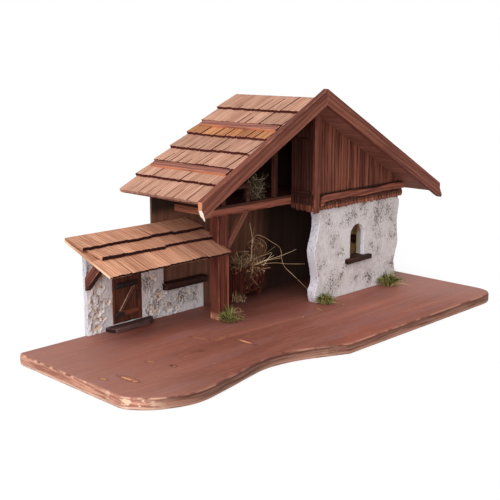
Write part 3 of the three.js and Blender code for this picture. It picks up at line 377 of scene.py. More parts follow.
def board_look():
    shade = new_look("board_stain")
    place = shade.place()
    parts = place.part()
    depth, height = parts.other("Y"), parts.other("Z")
    drift = place.clouds((2.5, 10, 1), 3, 0.5)
    grain = shade.node("CombineXYZ", {}, {0: 0.0, 1: drift * 0.05, 2: 0.0})
    grain = shade.node("VectorMath", {"operation": "ADD"}, {0: place, 1: grain})
    streaks = grain.clouds((5, 36, 36), 4, 0.55)
    fibres = grain.clouds((16, 280, 280), 3, 0.6)
    colour = layered(
        (134, 78, 65),
        ((streaks * 0.6 + fibres * 0.4).between(0.34, 0.66), (156, 98, 83)),
        (grain.clouds((7, 34, 34)).between(0.48, 0.64) * 0.6, (144, 97, 92)),
        (grain.clouds((6, 27, 27)).between(0.54, 0.70) * 0.5, (158, 85, 66)),
        (grain.clouds((3, 170, 170), 2, 0.5).between(0.61, 0.72) * 0.5, (182, 118, 100)),
        (grain.clouds((7, 330, 330), 2, 0.5).between(0.62, 0.72) * 0.35, (100, 56, 46)),
    )
    across = depth * (1 / STAVE_WIDTH)
    stave = shade.node("TexWhiteNoise", {"noise_dimensions": "1D"}, {"W": across.math("FLOOR")})
    colour = layered(
        tinted(shade, colour, stave, 0.10),
        ((across.math("FRACT") - 0.5).math("ABSOLUTE").between(0.488, 0.498) * 0.35, (186, 120, 98)),
        (place.clouds((90, 300, 300), 2, 0.6).between(0.60, 0.68) * 0.4, (180, 116, 98)),
    )
    colour = tinted(shade, colour, place.clouds((9, 12, 12), 4), 0.42)
    colour = (parts.math("ABSOLUTE").between(0.20, 0.40) * 0.35).mixed(colour, (190, 140, 126))
    wobble = (place.clouds((260, 260, 1), 2) - 0.5) * 1.3
    for streak in STREAKS:
        apart = oval(shade, place, *streak) + wobble
        colour = (apart.between(1.3, 0.3) * 0.45).mixed(colour, (186, 116, 94))
    for *knot, pale in KNOTS:
        apart = oval(shade, place, *knot) + wobble
        heart = (96 + 116 * pale, 56 + 90 * pale, 46 + 62 * pale)
        ring = (apart.between(1.5, 1.0) * 0.5, (108, 62, 54))
        colour = layered(colour, ring, (apart.between(1.05, 0.7) * 0.9, heart))
    # Painted shade: the board's top is darkened in the room and at the back of the bay, where walls and
    # roof shade it.
    painted_bay_shade = parts.between(ROOM_START - 0.04, ROOM_END) * depth.between(0.02, 0.15)
    painted_bay_shade = painted_bay_shade.math("MAXIMUM", parts.between(-0.06, 0.02) * depth.between(0.04, 0.17))
    # The front edge: a painted shade band under the rounded top and a painted lighter band along the
    # bottom.
    side = layered(
        (98, 62, 51),
        (place.clouds((13, 13, 330), 4, 0.62).between(0.38, 0.62), (146, 104, 88)),
        (height.between(0.0095, 0.0145) * 0.7, (80, 46, 38)),
        (height.between(0.0065, 0.0025) * 0.7, (184, 140, 118)),
    )
    chips = place.clouds((60, 60, 120), 3, 0.6).between(0.54, 0.60) * 0.8
    # The left end face: paler than the front edge, partly painted light, with pale chips of wear and a
    # painted highlight fading to near white along the bottom.
    end_face_and_highlight = layered(
        (156, 102, 86),
        (place.clouds((26, 26, 260)).between(0.40, 0.60), (202, 150, 128)),
        (chips * depth.between(-0.040, -0.085), (240, 206, 174)),
        (height.between(0.0060, 0.0020) * 0.8, (236, 204, 184)),
    )
    up = facing(shade, (0, 0, 1)).math("ABSOLUTE")
    left = facing(shade, (-1, 0, 0))
    # The rounded top edge: worn stain with a painted highlight, brightest where it turns to the left
    # end.
    rim = layered(
        (106, 64, 54),
        (place.clouds((25, 25, 25), 2).between(0.42, 0.58), (178, 124, 102)),
        (left.between(0.2, 0.5) * place.clouds((60, 60, 60), 2).between(0.45, 0.6), (226, 180, 154)),
    )
    colour = layered(
        colour,
        (painted_bay_shade * 0.75, (54, 31, 26)),
        (up.between(0.75, 0.25), left.between(0.3, 0.85).mixed(side, end_face_and_highlight)),
        (up.between(0.97, 0.7) * up.between(0.15, 0.5) * 0.7, rim),
    )
    relief = streaks * 0.5 + fibres * 0.4
    finished(shade, colour, relief * 0.2 + 0.5, relief, 0.0005)


board_look()
worked("base_board", "board_stain", "board", LONG, softness=0, wander=0, smooth=40)

# The closed sides: a thin panel nailed to the back edge of the board and another under
# the right slope, both cut from sheet and stained brown. The side panel was left nearly
# raw inside, and a small block glued into its corner holds it to the back.


def wood(
    name, dark, light, wear_and_light_tone, wear_and_light=0.5, ends=None, roughness=0.68, foot=None, one_side=None,
    varied=0.3, extra=None, **kind,
):
    """Stained wood with its own edge and end tones: wear and darker end grain, and in some looks
    painted shade and highlight.
    """
    shade = new_look(name)
    grain, colour, relief = figure(shade, dark, light, **kind)
    mark = shade.noted("mark").part()
    colour = tinted(shade, colour, mark, varied)
    wear_and_light_mask = grain.clouds((40, 90, 90)).between(0.62 - wear_and_light * 0.3, 0.7) * mark.other("Y")
    colour = layered(
        tinted(shade, colour, grain.clouds((9, 14, 14), 2), 0.45),
        (wear_and_light_mask * 0.8, wear_and_light_tone), (mark.other("Z"), ends or dark),
    )
    if extra:
        colour = extra(shade, grain, colour)
    if one_side:
        towards, rubbed, share = one_side
        turned = facing(shade, towards).between(0.45, 0.8) * share
        patchy = grain.clouds((12, 130, 130)).between(0.3, 0.55)
        colour = (turned * patchy).mixed(colour, rubbed)
    if foot:
        low, high, rubbed = foot
        height = shade.place().part("Z")
        rubbing = height.between(high, low) * grain.clouds((30, 160, 160)).between(0.35, 0.6)
        colour = rubbing.mixed(colour, rubbed)
    finished(shade, colour, relief * 0.2 + roughness - 0.1, relief, 0.0006)


def painted_back_shade(shade, grain, colour):
    """Painted shade: the inner face of the back, darkened nearly to black in the loft and behind the
    room.
    """
    parts = shade.place().part()
    far = parts.between(ROOM_START, ROOM_END).math("MAXIMUM", parts.other("Z").between(0.18, 0.20))
    inner = facing(shade, (0, -1, 0)).between(0.4, 0.8)
    return (far * inner * 0.9).mixed(colour, (30, 23, 20))


PANEL_TONES = ((104, 66, 51), (146, 100, 80), (150, 108, 86))
wood("panel_stain", *PANEL_TONES, contrast=0.6, extra=painted_back_shade)
wood("raw_panel", *PANEL_TONES, contrast=0.6, one_side=((-1, 0, 0), (252, 204, 134), 0.95))
for node, look in (
    ("back_panel", "panel_stain"), ("gable_panel", "panel_stain"), ("side_wall_right", "raw_panel"),
):
    worked(node, look, "panel", HIGH, softness=0.0004, wander=0.0001)

# The plastered walls: sawn boards under a hand-laid coat of filler, brushed white. On the
# front wall the coat is flecked with grey and brown, and deep in the window's reveal it
# turns grey, and brown towards the arch. On the annex it has flaked off in patches, down
# to cream and brown.

# Where the coat is flecked or has flaked off: place along the wall, height and reach, in
# millimetres
FRONT_FLECKS = [
    (286, 176, 16), (268, 163, 12), (276, 146, 20), (279, 122, 13), (309, 159, 16),
    (320, 140, 10), (243, 160, 14), (232, 172, 10), (190, 153, 15), (205, 163, 10),
    (137, 157, 12), (170, 149, 8), (149, 120, 11), (166, 97, 12), (118, 79, 12), (146, 41, 20),
    (170, 55, 10), (259, 98, 13), (282, 85, 10), (254, 34, 15), (324, 55, 14), (215, 39, 10),
    (322, 110, 12), (190, 70, 8),
]
FLAKES = [
    (-259, 93, 10), (-264, 83, 10), (-273, 76, 7), (-256, 68, 8), (-270, 60, 9), (-264, 50, 11),
    (-277, 50, 6), (-260, 42, 9), (-272, 36, 7), (-268, 28, 10), (-246, 64, 6), (-278, 120, 8),
    (-251, 104, 7), (-272, 108, 6), (-165, 94, 6), (-154, 88, 7), (-150, 60, 7), (-136, 57, 8),
    (-150, 44, 9), (-160, 36, 10), (-145, 34, 10), (-122, 31, 10), (-108, 30, 10), (-97, 40, 9),
    (-82, 54, 7),
]
ANNEX_FLECKS = [
    (-97, 48, 14), (-80, 46, 16), (-72, 42, 16), (-62, 50, 12), (-64, 34, 12), (-88, 58, 9),
    (-142, 64, 12), (-165, 82, 14), (-150, 40, 16), (-120, 40, 16), (-128, 80, 10),
]
WINDOW = (0.2165, 0.022, 0.074, 0.150)
# How deep the white reaches into the window's reveal; deeper in, the reveal turns grey and brown.
REVEAL_WHITE_DEPTH = 0.0075


def metres(rows):
    """Rows of sizes that are written in millimetres."""
    return [[size / 1000 for size in row] for row in rows]


def closeness(spots, co, spread=1.0):
    """How deep a place on a wall lies in the nearest of some spots, below 0 outside them."""
    return max(1 - math.hypot(co.x - x, co.z - z) / (reach * spread) for x, z, reach in spots)


def coated(node, fineness, flakes, flecks, fleck_spread):
    """A wall's shape under its coat, uneven, with flaked patches cut in and flecks marked."""
    core = bpy.data.objects.new("core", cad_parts[node].data.copy())
    bpy.context.scene.collection.objects.link(core)
    grid = core.modifiers.new("grid", "REMESH")
    grid.mode = "VOXEL"
    grid.voxel_size = fineness
    graph = bpy.context.evaluated_depsgraph_get()
    mesh = bpy.data.meshes.new_from_object(core.evaluated_get(graph))
    bpy.data.objects.remove(core)
    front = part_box(node)[0].y
    flakes, flecks = metres(flakes), metres(flecks)
    middle, half_width, low, high = WINDOW
    flaked, flecked, deep_reveal, places = [], [], [], []
    for vert in mesh.vertices:
        co = vert.co
        level = Vector((co.x, co.y, co.z * 0.4))
        push = 0.00035 * noise.noise(level * 120) + 0.00022 * noise.noise(co * 420)
        flake = 0
        fleck = 0
        if vert.normal.y < -0.6:
            spread = noise.fractal(co * 95, 0.8, 2.2, 3)
            if flakes:
                depth = closeness(flakes, co) + 0.9 * spread
                flake = min(1, max(0, (depth - 0.10) * 7))
                rim = max(0, 1 - abs(depth + 0.02) * 3)
                crumble = noise.noise(co * 210) + 0.6 * noise.noise(co * 390)
                push += 0.0014 * rim - 0.0014 * flake + 0.0012 * crumble * (flake + rim)
            warped = co + noise.noise_vector(co * 70) * 0.010 + noise.noise_vector(co * 200) * 0.004
            fleck = min(1.25, max(0, closeness(flecks, warped, fleck_spread) * 1.4))
        elif vert.normal.x < -0.6:
            push += 0.0005 * noise.noise(co * 160)
            fleck = 0.2
        behind = co.y > front + REVEAL_WHITE_DEPTH and abs(vert.normal.y) < 0.7
        deep_reveal.append(float(behind and abs(co.x - middle) < half_width and low < co.z < high))
        places.append(co + vert.normal * push)
        flaked.append(flake)
        flecked.append(fleck)
    mesh.vertices.foreach_set("co", [value for place in places for value in place])
    for name, values in (("flaked", flaked), ("flecked", flecked), ("deep_reveal", deep_reveal)):
        mesh.attributes.new(name, "FLOAT", "POINT").data.foreach_set("value", values)
    mesh.materials.clear()
    mesh.materials.append(bpy.data.materials["filler"])
    mesh.shade_smooth()
    mesh.name = f"{node}_coat"
    piece = bpy.data.objects.new(f"{node}_coat", mesh)
    bpy.context.scene.collection.objects.link(piece)
    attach(piece, "stable")
    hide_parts(node)


def filler_look():
    shade = new_look("filler")
    place = shade.place()
    height = place.part("Z")
    flaked, flecked, deep_reveal = [shade.noted(name, "Fac") for name in ("flaked", "flecked", "deep_reveal")]
    # Painted light: faces turned to the left are tinted a paler, bluish white, a lit side painted in.
    painted_cool_side = facing(shade, (-1, 0, 0)).between(0.5, 0.9) * 0.7
    smudge = flecked * place.clouds((130, 130, 60)).between(0.36, 0.62) * 0.3
    under = layered(
        (206, 198, 198),
        (place.clouds((48, 48, 48), 2).between(0.52, 0.58), (226, 202, 178)),
        (place.clouds((150, 150, 150)).between(0.54, 0.62), (150, 118, 102)),
    )
    patches = place.clouds((60, 60, 34), 3, 0.6)
    specks = place.clouds((450, 450, 250), 3, 0.7) + flecked * 0.12 + (patches - 0.5) * 0.30
    dirt = place.clouds((70, 70, 70), 2).between(0.4, 0.6).mixed((60, 49, 47), (112, 90, 80))
    # Deep in the window's reveal the colour turns grey, and brown towards the top of the arch.
    deep_reveal_tone = height.between(0.118, 0.136).mixed((150, 136, 124), (148, 92, 62))
    colour = layered(
        (192, 183, 182),
        (place.clouds((300, 300, 110), 3, 0.6).between(0.30, 0.70), (220, 212, 211)),
        (place.clouds((26, 26, 16), 2).between(0.4, 0.7) * 0.5, (228, 222, 222)),
        (height.between(0.05, 0.02) * 0.5, (232, 230, 236)),
        (painted_cool_side, (218, 217, 230)), (smudge, (158, 148, 143)), (flaked * 0.8, under),
        (specks.between(0.575, 0.62) * 0.14, (120, 108, 102)),
        (specks.between(0.648, 0.690) * 0.9, dirt), (deep_reveal, deep_reveal_tone),
    )
    relief = place.clouds((520, 520, 300)) * 0.6 + place.clouds((150, 150, 90), 2) * 0.6
    finished(shade, colour, 0.88, relief, 0.0008)


filler_look()
coated("front_wall", 0.0012, [], FRONT_FLECKS, 1.6)
coated("annex_wall", 0.0010, FLAKES, ANNEX_FLECKS, 1.3)

# The sills: short lengths of board stained almost black, one in the arched window and one
# along the low wall of the annex.

wood("black_stain", (32, 18, 15), (72, 45, 38), (116, 78, 66), wear_and_light=0.35)
for node in ("window_sill", "annex_sill"):
    worked(node, "black_stain", "dark_wood", LONG, softness=0.0010, wander=0.0007)

# The gable: upright boards of uneven width nailed side by side over a panel, with a row of
# short rounded slats over their lower ends. They turn the corner at the bay and at the right
# end. A plain board covers the left corner, and a wavy strip the heads of the slats.

BOARD_NARROW = 0.0060
BOARD_WIDE = 0.0105
SLAT_NARROW = 0.0058
SLAT_WIDE = 0.0105
END_ROUND = 0.0044
BOARD_GAP = 0.0003
SLAT_GAP = 0.0009
BUTT_GAP = 0.0004
SLAT_FOOT_UP = 0.0008
SLAT_HEAD_HIDDEN = 0.004
BOARD_FOOT_UP = 0.008
BOARD_SET_BACK = 0.0021
SLAT_SET_BACK = 0.0004
ROOF_RATIO = 0.549
BOARD_JOINT = 0.304
ridge_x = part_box("roof_panel_left")[1].x
ridge_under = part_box("king_post")[1].z + 0.5 * ROOF_RATIO * 0.008

# Painted shade: the eased edges of the gable boards and slats take this dark tone, so the joints
# between them look shaded.
DARK_GROOVE = (44, 20, 16)
trim_foot, trim_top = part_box("gable_trim")[0].z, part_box("gable_trim")[1].z


def painted_trim_shadow(shade, grain, colour):
    """Painted shadow: dark lines on the boards just above and just below the wavy strip."""
    height = shade.place().part("Z")
    above = height.between(trim_top + 0.0040, trim_top + 0.0005)
    above = above * height.between(trim_foot, trim_top)
    below = height.between(trim_foot - 0.0022, trim_foot - 0.0002)
    below = below * height.between(trim_top, trim_foot)
    return (above.math("MAXIMUM", below * 0.7) * 0.85).mixed(colour, (30, 14, 11))


wood(
    "cladding_stain", (84, 42, 32), (140, 82, 63), DARK_GROOVE, wear_and_light=1.4, contrast=1.1,
    varied=0.2, extra=painted_trim_shadow,
)
# Painted shade: much darker copies of the board and slat stains for the pieces that turn the corner at
# the bay.
wood("return_boards_shaded", (46, 23, 19), (86, 47, 38), (24, 12, 10), wear_and_light=1.4, varied=0.2)
wood(
    "slat_stain", (98, 51, 38), (170, 106, 82), DARK_GROOVE, wear_and_light=1.1,
    ends=(140, 78, 57), varied=0.5, extra=painted_trim_shadow,
)
wood(
    "return_slats_shaded", (70, 35, 27), (126, 74, 57), DARK_GROOVE, wear_and_light=1.1,
    ends=(104, 56, 42), varied=0.4,
)
# Painted shadow: the wavy strip's eased edges are near black, outlining it against the boards.
wood("strip_stain", (92, 46, 36), (148, 88, 70), (40, 18, 14), wear_and_light=1.4)
# Painted shade: the strip round the corner at the bay, darker than the same strip on the front.
wood("strip_shaded", (34, 17, 14), (64, 34, 28), (24, 12, 10), wear_and_light=1.2)
wood("corner_stain", (86, 42, 33), (146, 86, 68), (182, 116, 92), wear_and_light=0.5)


def laid(along, across, at):
    """A frame with its first axis along a board's grain and its second across it."""
    axes = Matrix((along, across, along.cross(across))).transposed().to_4x4()
    return Matrix.Translation(at) @ axes


def board(shape, outline, thickness, place, hand, softness, split=None, tip=None, cut=1.0):
    """Adds a board to a shape. Its outline runs along the grain and then across it."""
    count = len(outline)
    longest = max(a for a, b in outline)
    rise = (tip - thickness) / longest if tip else 0
    lower = [shape.verts.new(place @ Vector((a, b, 0))) for a, b in outline]
    upper = [shape.verts.new(place @ Vector((a, b, thickness + rise * a))) for a, b in outline]
    faces = [shape.faces.new(lower[::-1]), shape.faces.new(upper)]
    # Split sides of a shingle take the look's dark end tone, painted shade in the splits.
    torn = set()
    for i in range(count):
        j = (i + 1) % count
        faces.append(shape.faces.new((lower[i], lower[j], upper[j], upper[i])))
        middle = (outline[i][1] + outline[j][1]) / 2
        if split and split[0] + 0.0008 < middle < split[1] - 0.0008:
            torn.add(faces[-1])
    along = (place.to_3x3() @ LONG).normalized()
    grown(shape, lower + upper, faces, along, hand, torn, cut)
    if softness:
        edges = list({edge for face in faces for edge in face.edges})
        eased(shape, edges, softness)


def under_roof(x):
    return ridge_under - ROOF_RATIO * abs(x - ridge_x) - 0.0004


def boarding(name, start, end, foot, height, thickness, place, hand, look, nodes, widths,
             joint=None, round_off=0.0, set_back=0.0):
    """Upright boards from start to end along a wall, with rounded feet if they have any."""
    shape = new_shape()
    left = start
    while left < end - 1e-6:
        right = left + hand.uniform(*widths)
        if end - right < widths[0]:
            right = end
        low = foot + hand.uniform(-0.0010, 0.0020)
        soft = min(round_off, (right - left) * 0.42)
        inner, outer = left + BOARD_GAP, right - BOARD_GAP
        if soft:
            inner = left + hand.uniform(BOARD_GAP, SLAT_GAP)
            outer = right - hand.uniform(BOARD_GAP, SLAT_GAP)
        feet = [
            (low + soft, outer), (low + soft * 0.35, outer - soft * 0.40),
            (low + hand.uniform(-0.0004, 0.0004) * bool(soft), (left + right) / 2),
            (low + soft * 0.35, inner + soft * 0.40), (low + soft, inner),
        ]
        if not soft:
            feet = [(low, outer), (low, inner)]
        top = [(height(inner), inner), (height(outer), outer)]
        if inner < ridge_x < outer and height(inner) != height(outer):
            top.insert(1, (height(ridge_x), ridge_x))
        proud = set_back + hand.uniform(0, 0.0006)
        lift = place @ Matrix.Translation(Vector((0, 0, proud)))
        pieces = [top + feet]
        if joint:
            butt = joint + hand.uniform(-0.0004, 0.0004)
            pieces = [
                [(butt - BUTT_GAP, inner), (butt - BUTT_GAP, outer), *feet],
                [*top, (butt + BUTT_GAP, outer), (butt + BUTT_GAP, inner)],
            ]
        for outline in pieces:
            board(shape, outline[::-1], thickness - proud, lift, hand, 0.0008)
        left = right
    placed(shape, name, look, "cladding", nodes)


front_low, front_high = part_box("cladding_front")
slat_foot = front_low.z + SLAT_FOOT_UP
slat_top = trim_foot + SLAT_HEAD_HIDDEN
board_foot = slat_foot + BOARD_FOOT_UP
facing_back = laid(HIGH, LONG, (0, front_low.y, 0))
walls = [("cladding_front", front_low.x, front_high.x, facing_back, "cladding_stain", None)]
for node, look, joint in (
    ("cladding_left", "return_boards_shaded", BOARD_JOINT), ("cladding_right", "cladding_stain", None),
):
    low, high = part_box(node)
    facing_right = laid(HIGH, -DEEP, (low.x, 0, 0))
    walls.append((node, -high.y, -low.y, facing_right, look, joint))
for seed, (node, start, end, place, look, joint) in enumerate(walls):
    low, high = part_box(node)
    hand = random.Random(3 + seed)
    height = under_roof
    thickness = high.y - low.y
    if node != "cladding_front":
        thickness = high.x - low.x
        height = lambda y, top=under_roof(low.x if joint else high.x): top
    boarding(
        f"{node}_boards", start, end, board_foot, height, thickness, place, hand, look, [node],
        (BOARD_NARROW, BOARD_WIDE), joint, set_back=BOARD_SET_BACK,
    )
    head = min(slat_top, height(start), height(end))
    widths = (SLAT_NARROW, SLAT_WIDE) if node == "cladding_front" else (SLAT_WIDE * 0.8, 0.0125)
    boarding(
        f"{node}_slats", start, end, slat_foot, lambda at, head=head: head, thickness, place,
        hand, "return_slats_shaded" if joint else "slat_stain", [node], widths, round_off=END_ROUND,
        set_back=SLAT_SET_BACK,
    )

worked("corner_board", "corner_stain", "cladding", HIGH, softness=0.0012)
worked("gable_trim", "strip_stain", "cladding", LONG, softness=0.0010, wander=0.0006)

# The same strip round the corner, on the boards at the bay
STRIP_FOOT = 0.2060
STRIP_TOP = 0.2165
STRIP_THICKNESS = 0.003
low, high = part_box("cladding_left")
hand = random.Random(12)
shape = new_shape()
outline = []
for edge, way in ((STRIP_TOP, 1), (STRIP_FOOT, -1)):
    stops = [low.y + 0.003 + (high.y - low.y - 0.006) * i / 7 for i in range(8)][::way]
    outline += [(y, edge + hand.uniform(-0.0008, 0.0008)) for y in stops]
place = Matrix(((0, 0, -1, low.x + 0.0008), (1, 0, 0, 0), (0, 1, 0, 0), (0, 0, 0, 1)))
board(shape, outline, STRIP_THICKNESS, place, hand, 0.0008)
placed(shape, "return_strip", "strip_shaded", "cladding", [])

# The block that is glued into the corner of the side panel and the back
BLOCK_LOW = Vector((0.3270, 0.1060, 0.0780))
BLOCK_HIGH = Vector((0.3330, 0.1230, 0.0940))
shape = new_shape()
outline = [
    (BLOCK_LOW.y, BLOCK_LOW.z), (BLOCK_HIGH.y, BLOCK_LOW.z),
    (BLOCK_HIGH.y, BLOCK_HIGH.z), (BLOCK_LOW.y, BLOCK_HIGH.z),
]
place = laid(DEEP, HIGH, (BLOCK_LOW.x, 0, 0))
board(shape, outline, BLOCK_HIGH.x - BLOCK_LOW.x, place, hand, 0.0007)
placed(shape, "corner_block", "cladding_stain", "timber", [])

# The open bay: a square post, a long beam with a brace below it, a plate to the back wall,
# the loft's deck with a low rail, and a thin post up to the ridge. All are planed laths
# and battens of softwood, stained red brown and rubbed on their edges.

POST_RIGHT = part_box("front_post")[1].x


def edge_highlight_and_wear(shade, grain, colour):
    """The post's right edge in bright orange, a painted highlight over rubbed stain, and lighter grain
    streaks.
    """
    across = shade.place().part()
    ragged = across + (grain.clouds((22, 160, 160)) - 0.5) * 0.006
    edge = ragged.between(POST_RIGHT - 0.0045, POST_RIGHT - 0.0020)
    edge = edge * facing(shade, (0, -1, 0)).between(0.3, 0.7)
    edge = edge * across.other("Z").between(0.150, 0.090)
    streak = grain.clouds((7, 190, 190), 3, 0.6).between(0.54, 0.64) * 0.4
    colour = streak.mixed(colour, (160, 92, 72))
    return (edge * 0.75).mixed(colour, (204, 112, 76))


# The post's left face is painted lighter, a painted lit side; its foot is rubbed pale.
wood(
    "post_stain", (58, 26, 21), (104, 54, 43), (160, 92, 72), wear_and_light=0.6,
    contrast=1.1, ring=0.0042, foot=(0.020, 0.032, (216, 156, 126)),
    one_side=((-1, 0, 0), (122, 68, 56), 0.6), extra=edge_highlight_and_wear,
)
wood("brace_pine", (108, 66, 52), (134, 84, 66), (170, 116, 94), wear_and_light=0.5, contrast=0.7)
# Painted light: lighter copies of the stain for the wall plate and the loft beam, which lie in shade.
wood("plate_painted_light", (116, 64, 50), (182, 116, 92), (206, 142, 114), wear_and_light=0.6)
wood("beam_painted_light", (100, 53, 42), (166, 100, 81), (190, 126, 100), wear_and_light=0.6)
wood("loft_stain", (54, 28, 22), (96, 56, 44), (120, 74, 58), wear_and_light=0.3)
run_up = Vector((49, 0, 60)).normalized()
worked("front_post", "post_stain", "timber", HIGH, softness=0.0014, wander=0.0006)
for node, along, look in (
    ("loft_beam", LONG, "beam_painted_light"), ("wall_plate_left", DEEP, "plate_painted_light"),
    ("knee_brace", run_up, "brace_pine"), ("king_post", HIGH, "loft_stain"),
    ("loft_rail", LONG, "loft_stain"),
):
    worked(node, look, "timber", along, softness=0.0009, wander=0.0004)
worked("loft_floor", "loft_stain", "panel", LONG, softness=0.0004, wander=0.0001)

# The main roof: two thin panels under split shingles, seven courses to the left and nine
# to the right. The shingles are thin slips of softwood, rubbed with a pale red stain; some
# are split right up, some only part of the way, and their ends are ragged and dark: darker
# end grain, with painted shade on the ends and in the splits.

SHINGLE_NARROW = 0.014
SHINGLE_WIDE = 0.044
SHINGLE_THICKNESS = 0.0023
SHINGLE_HEAD = 0.0018
SHINGLE_TIP = 0.0042
FIRST_TIP = 0.045
COURSE_RUN = 0.035
SHINGLE_LAP = 0.010
SHINGLE_SEAT = -0.0001
LAID_OFF = 0.0003
SPLIT_WIDTH = 0.0026
# Splits of the left slope's courses: millimetres from the front verge, share of the length
LEFT_SPLITS = [
    [(48, 1), (74, 0.9), (96, 0.8), (142, 0.3)],
    [(14, 1), (62, 1), (92, 0.6), (108, 0.9)],
    [(14, 1), (40, 1), (56, 1), (79, 1), (102, 1), (126, 1), (156, 1)],
    [(18, 1), (71, 0.5), (95, 1), (122, 0.4), (148, 0.6)],
    [(28, 1), (79, 0.6), (95, 1), (116, 0.4), (136, 0.7), (154, 0.9), (170, 0.7)],
    [(88, 1), (153, 1)],
    [(38, 1), (68, 0.7), (86, 0.9), (108, 0.4), (128, 0.6), (148, 0.9), (168, 0.8)],
]
ORANGE_COURSE = 2
SPLIT_LEAN = 0.0016
# How much of the dark end tone, end grain and painted shade, the lowest course's tips take
LAST_CUT = 0.35

# The dark ends take in the sawn tips and the split sides: darker end grain with painted shade.
wood(
    "shingle_stain", (160, 112, 91), (214, 166, 142), (214, 170, 146), wear_and_light=0.1,
    ends=(78, 32, 30), roughness=0.8, contrast=0.75, varied=0.22,
)
wood(
    "orange_stain", (150, 92, 58), (208, 148, 104), (214, 160, 126), wear_and_light=0.1,
    ends=(84, 38, 38), roughness=0.8, contrast=0.75, varied=0.3,
)
wood("soffit_stain", (104, 62, 51), (150, 98, 82), (170, 116, 98))


def course_tilts(tips, lap, thickness, seat):
    """How steeply each course lies on the one below it, with its head, from the top down."""
    heads = [0 if i == 0 else tips[i - 1] - lap for i in range(len(tips))]
    tilts = [0.0] * len(tips)
    for i in reversed(range(len(tips) - 1)):
        below = heads[i + 1]
        bearing = thickness + seat
        on_head = bearing / (below - heads[i])
        on_tips = (bearing + (tips[i] - below) * tilts[i + 1]) / (tips[i] - heads[i])
        tilts[i] = max(on_head, on_tips)
    return heads, tilts


def split_course(
    shape, slope, head, tip, tilt, width, splits, shown, thick, hand, lean=0.0, cut=1.0,
    gap=SPLIT_WIDTH, uneven=0.0026,
):
    """One course of shingles across a slope, from the verge at 0 to the verge at width."""
    joints = [(0.0, 0.0)]
    for at, share in splits:
        if share >= 1:
            joints.append((at, lean * hand.uniform(0.3, 1.2)))
    joints.append((width, 0.0))
    part = [(at, share) for at, share in splits if share < 1]
    for (start, start_lean), (end, end_lean) in zip(joints, joints[1:]):
        reach = tip - head - hand.uniform(0, uneven)
        slant = hand.uniform(-0.025, 0.025)
        left = start + (gap / 2 if start else 0)
        right = end - (gap / 2 if end < width else 0)

        def ragged(at):
            jag = hand.uniform(-0.0014, 0.0008)
            return reach + jag + slant * (at - (start + end) / 2)

        edge = [(ragged(start), left)]
        at = left + hand.uniform(0.002, 0.005)
        while at < right - 0.002:
            edge.append((ragged(at), at))
            at += hand.uniform(0.0014, 0.0050)
        edge.append((ragged(end), right))
        for at, share in part:
            if start + 0.006 < at < end - 0.006:
                open_by = gap / 2 * hand.uniform(0.7, 1)
                before = [point for point in edge if point[1] < at - open_by - 0.0004]
                after = [point for point in edge if point[1] > at + open_by + 0.0004]
                deep = reach - shown * share
                middle = at + lean * share * 0.8
                notch = [
                    (ragged(at), at - open_by), (deep + 0.004, middle - open_by * 0.8),
                    (deep, middle), (deep + 0.004, middle + open_by * 0.8),
                    (ragged(at), at + open_by),
                ]
                edge = before + notch + after
        cover = max(0.001, reach - shown * 1.15)
        outline = [
            (0, left + start_lean), (cover, left + start_lean), *edge,
            (cover, right + end_lean), (0, right + end_lean),
        ]
        lift = tilt + hand.uniform(0, 0.014)
        turn = Matrix.Rotation(-lift, 4, "Y")
        place = slope @ Matrix.Translation((head, 0, LAID_OFF)) @ turn
        at_tip = thick[1] * hand.uniform(0.85, 1.1)
        board(shape, outline, thick[0], place, hand, 0, (0, width), at_tip, cut)


roof_low, roof_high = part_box("roof_panel_left")
roof_width = roof_high.y - roof_low.y
per_run = math.hypot(1, ROOF_RATIO)
thick = (SHINGLE_HEAD, SHINGLE_TIP)
for side, count, verge, along in (("left", 7, roof_high.y, -1), ("right", 9, roof_low.y, 1)):
    hand = random.Random(side)
    out = -1 if side == "left" else 1
    fall = Vector((out, 0, -ROOF_RATIO)).normalized()
    slope = laid(fall, DEEP * along, (ridge_x, verge, roof_high.z))
    tips = [(FIRST_TIP + i * COURSE_RUN) * per_run for i in range(count)]
    heads, tilts = course_tilts(tips, SHINGLE_LAP, SHINGLE_THICKNESS, SHINGLE_SEAT)
    for strip, first, last in (("upper", 0, 2), ("middle", 2, 5), ("lower", 5, count)):
        shape = new_shape()
        for i in range(first, last):
            splits = []
            if side == "left":
                splits = [(roof_width - at / 1000, share) for at, share in reversed(LEFT_SPLITS[i])]
            at = hand.uniform(SHINGLE_NARROW, 0.040)
            while side == "right" and at < roof_width - 0.012:
                splits.append((at, hand.choice((1, 1, 0.8, 0.5))))
                at += hand.uniform(SHINGLE_NARROW, SHINGLE_WIDE)
            shown = (COURSE_RUN if i else FIRST_TIP) * per_run
            orange = side == "left" and i == ORANGE_COURSE
            row = new_shape() if orange else shape
            split_course(
                row, slope, heads[i], tips[i], tilts[i], roof_width, splits, shown, thick, hand,
                SPLIT_LEAN * along * -1, LAST_CUT if i == count - 1 else 1,
            )
            if orange:
                node = "roof_shingles_left_middle"
                placed(row, "roof_shingles_left_orange", "orange_stain", "shingle", [node])
        node = f"roof_shingles_{side}_{strip}"
        placed(shape, f"{node}_split", "shingle_stain", "shingle", [node])
    worked(f"roof_panel_{side}", "soffit_stain", "barge", DEEP, softness=0.0004)

# The laths nailed over the shingles, redder than they are, with dark sawn ends, and the
# barge boards on the front verge, mitred at the apex and rubbed along their edges. The
# left one's foot has torn, and shows raw wood.

LATH_SHORTER = 0.005
BARGE_TONES = ((90, 47, 37), (140, 84, 68), (182, 122, 98))
TEAR_HEIGHT = 0.0125
TEAR_WIDTH = 0.0062
TEAR_THICKNESS = 0.0016

